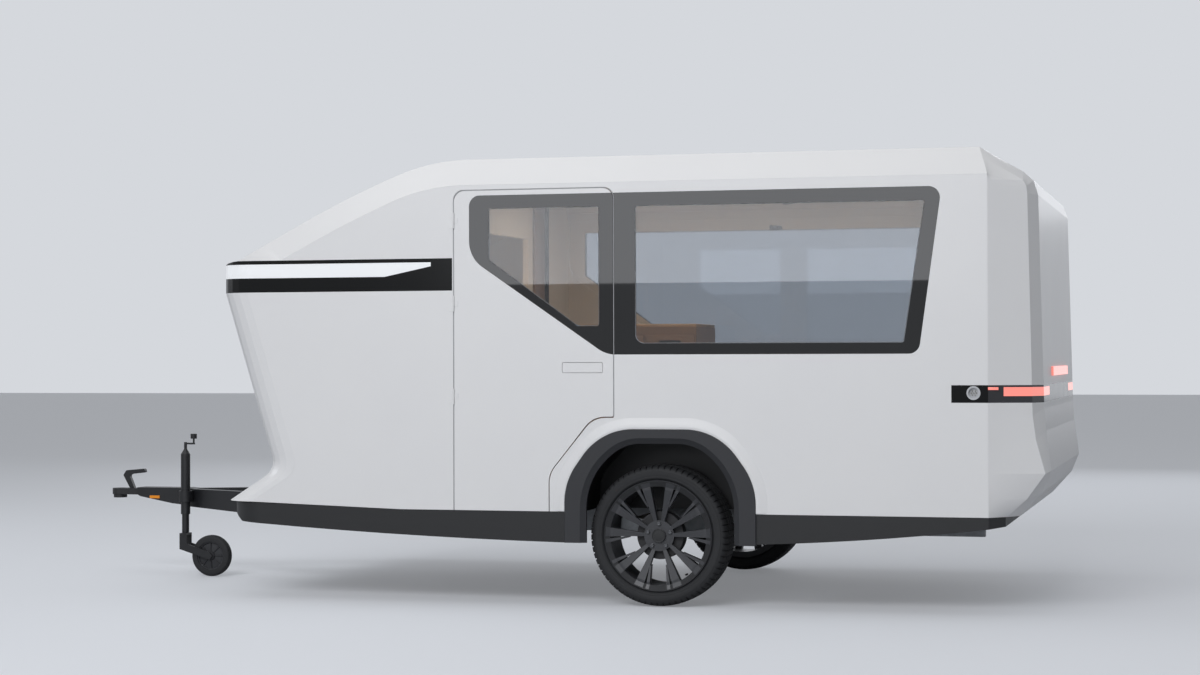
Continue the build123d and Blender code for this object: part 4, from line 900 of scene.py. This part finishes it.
for name, (node, cuts, voxel, weltAxis) in pads.items():
    finish, fill, pressure, cap = padKinds[node]
    shape = cutShape(node, cuts)
    low = Vector([min(vertex.co[axis] for vertex in shape.verts) for axis in range(3)])
    high = Vector([max(vertex.co[axis] for vertex in shape.verts) for axis in range(3)])
    middle = (low + high) / 2
    for vertex in shape.verts:
        for axis in range(3):
            share = 1 - 2 * padShape["inset"] / (high[axis] - low[axis])
            vertex.co[axis] = middle[axis] + (vertex.co[axis] - middle[axis]) * share
    bevelled(shape, padShape["edge"])
    mesh = bpy.data.meshes.new(name)
    shape.to_mesh(mesh)
    shape.free()
    piece = bpy.data.objects.new(name, mesh)
    bpy.context.collection.objects.link(piece)
    remesh = piece.modifiers.new("remesh", "REMESH")
    remesh.mode, remesh.voxel_size = "VOXEL", voxel
    piece.data = bakedMesh(piece)
    piece.modifiers.clear()
    cloth = piece.modifiers.new("swell", "CLOTH")
    cloth.settings.use_pressure = True
    cloth.settings.uniform_pressure_force = pressure
    cloth.settings.effector_weights.gravity = 0
    cloth.point_cache.frame_start, cloth.point_cache.frame_end = 1, padShape["frames"]
    for tick in range(1, padShape["frames"] + 1):
        bpy.context.scene.frame_set(tick)
    swollen = bakedMesh(piece)
    piece.modifiers.clear()
    for vertex, grown in zip(piece.data.vertices, swollen.vertices):
        move = grown.co - vertex.co
        if move.length > cap:
            move *= cap / move.length
        place = vertex.co + move
        for axis in range(3):
            lowest, highest = low[axis] + padShape["slack"], high[axis] - padShape["slack"]
            place[axis] = min(max(place[axis], lowest), highest)
        vertex.co = place
    bpy.context.scene.frame_set(1)
    smooth = piece.modifiers.new("smooth", "SUBSURF")
    smooth.levels = smooth.render_levels = 1
    piece.data = bakedMesh(piece)
    piece.modifiers.clear()
    for face in piece.data.polygons:
        face.use_smooth = True
    piece.data.materials.clear()
    piece.data.materials.append(materials[finish])
    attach(piece, "root")
    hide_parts(node)
    welt = weltAt(piece.data, low, high, "XYZ".index(weltAxis))
    makePiece(name + "Welt", *welt, finish, "root", "fabric_beige", sharp["cord"])
print("upholstery made")

# Camera: place in metres, angles in degrees, focal length in pixels of the photograph's width
camera = {
    "place": (3.363, -11.791, 1.169), "focalPx": 2360.0, "widthPx": 1200.0, "sensorMm": 36.0, "clipEnd": 200,
    "yaw": 15.04, "pitch": 0.467, "roll": -0.15,
}
yaw, pitch, roll = (math.radians(camera[key]) for key in ("yaw", "pitch", "roll"))
forward = Vector((-math.sin(yaw) * math.cos(pitch), math.cos(yaw) * math.cos(pitch), math.sin(pitch)))
level = Vector((math.cos(yaw), math.sin(yaw), 0))
right = level * math.cos(roll) + level.cross(forward) * math.sin(roll)
turn = Matrix((right, right.cross(forward), -forward)).transposed()
lens = bpy.data.cameras.new("photoCamera")
lens.sensor_width = camera["sensorMm"]
lens.lens = camera["focalPx"] / camera["widthPx"] * camera["sensorMm"]
lens.clip_end = camera["clipEnd"]
viewer = bpy.data.objects.new("photoCamera", lens)
bpy.context.collection.objects.link(viewer)
viewer.matrix_world = Matrix.Translation(camera["place"]) @ turn.to_4x4()
bpy.context.scene.camera = viewer
bpy.context.scene.view_settings.view_transform = "Standard"

# Floor and world: the sky that the camera sees is brighter than the fill that lights the object
stage = {"size": 120.0, "floor": "#CDD0D5", "roughness": 0.8, "floorGlow": 0.3,
         "sky": "#D5D8DD", "fill": "#E8E9EC", "glow": 0.24}
half = stage["size"] / 2
floorMesh = bpy.data.meshes.new("studioFloor")
floorMesh.from_pydata([(-half, -half, 0), (half, -half, 0), (half, half, 0), (-half, half, 0)], [],
                      [(0, 1, 2, 3)])
floor = bpy.data.objects.new("studioFloor", floorMesh)
bpy.context.collection.objects.link(floor)
concrete, tree, shader, _ = newMaterial(
    "paintedConcrete", {"color": stage["floor"], "roughness": stage["roughness"]})
floorMesh.materials.append(concrete)
# the camera sees the floor a little paler than it lights the object
ray = addNode(tree, "ShaderNodeLightPath")
glow = addNode(tree, "ShaderNodeMath", {"operation": "MULTIPLY", 1: stage["floorGlow"]},
               {0: ray.outputs["Is Camera Ray"]})
shader.inputs["Emission Color"].default_value = hexColor(stage["floor"])
tree.links.new(glow.outputs[0], shader.inputs["Emission Strength"])

world = bpy.data.worlds.new("studio")
bpy.context.scene.world = world
world.use_nodes = True
sky = world.node_tree
sky.nodes.clear()
soft = addNode(sky, "ShaderNodeBackground", {"Color": hexColor(stage["fill"]), "Strength": stage["glow"]})
shown = addNode(sky, "ShaderNodeBackground", {"Color": hexColor(stage["sky"]), "Strength": 1.0})
ray = addNode(sky, "ShaderNodeLightPath")
mirrored = addNode(sky, "ShaderNodeMath", {"operation": "MAXIMUM"},
                   {0: ray.outputs["Is Glossy Ray"], 1: ray.outputs["Is Transmission Ray"]})
seen = addNode(sky, "ShaderNodeMath", {"operation": "MAXIMUM"},
               {0: ray.outputs["Is Camera Ray"], 1: mirrored.outputs[0]})
mixed = addNode(sky, "ShaderNodeMixShader", {}, {0: seen.outputs[0], 1: soft.outputs[0], 2: shown.outputs[0]})
addNode(sky, "ShaderNodeOutputWorld", {}, {"Surface": mixed.outputs[0]})

lamps = {
    # name: place, target, size in metres, watts, colour, whether glass and gloss show it
    "overheadSoftbox": ((-1.0, -1.0, 7.5), (0, 0, 1), (9.0, 6.0), 125, "#FFFFFF", True),
    # behind the camera, its low edge 1.93 m up: the glass shows it as a pale veil down to a level line
    "veilPanel": ((-1.5, -14.2, 2.83), (-1.5, 0, 2.83), (6.0, 1.8), 96, "#F4F6FA", True),
    "cameraSideSoftbox": ((-1.0, -13.0, 8.5), (0.3, 0, 1.2), (10.0, 4.0), 960, "#F6F7F9", True),
    "noseSoftbox": ((-9.0, 1.0, 3.5), (-1.5, 0, 1.2), (3.0, 3.0), 50, "#F6F9FF", True),
    "farSideWall": ((0.5, 12.0, 5.0), (0, 0, 1.5), (12.0, 5.0), 200, "#F4F6FA", True),
    "tailSoftbox": ((10.0, 2.0, 4.5), (2.0, 0, 1.2), (4.0, 3.0), 8, "#F4F6FA", True),
    "bunkLamp": ((-0.42, -0.20, 1.86), (-0.9, -0.20, 1.5), (0.05, 0.7), 3.5, "#FFE6CC", False),
    "cabinLamp": ((0.9, 0.0, 2.02), (0.9, 0.0, 1.0), (1.6, 0.5), 20, "#FFF0DD", False),
}
for name, (place, target, size, watts, code, mirrored) in lamps.items():
    light = bpy.data.lights.new(name, "AREA")
    light.shape = "RECTANGLE"
    light.size, light.size_y = size
    light.energy = watts
    light.color = hexColor(code)[:3]
    lamp = bpy.data.objects.new(name, light)
    bpy.context.collection.objects.link(lamp)
    lamp.location = place
    lamp.rotation_euler = (Vector(target) - Vector(place)).to_track_quat("-Z", "Y").to_euler()
    lamp.visible_camera = False
    lamp.visible_transmission = lamp.visible_glossy = mirrored
print("camera, floor and lamps placed")
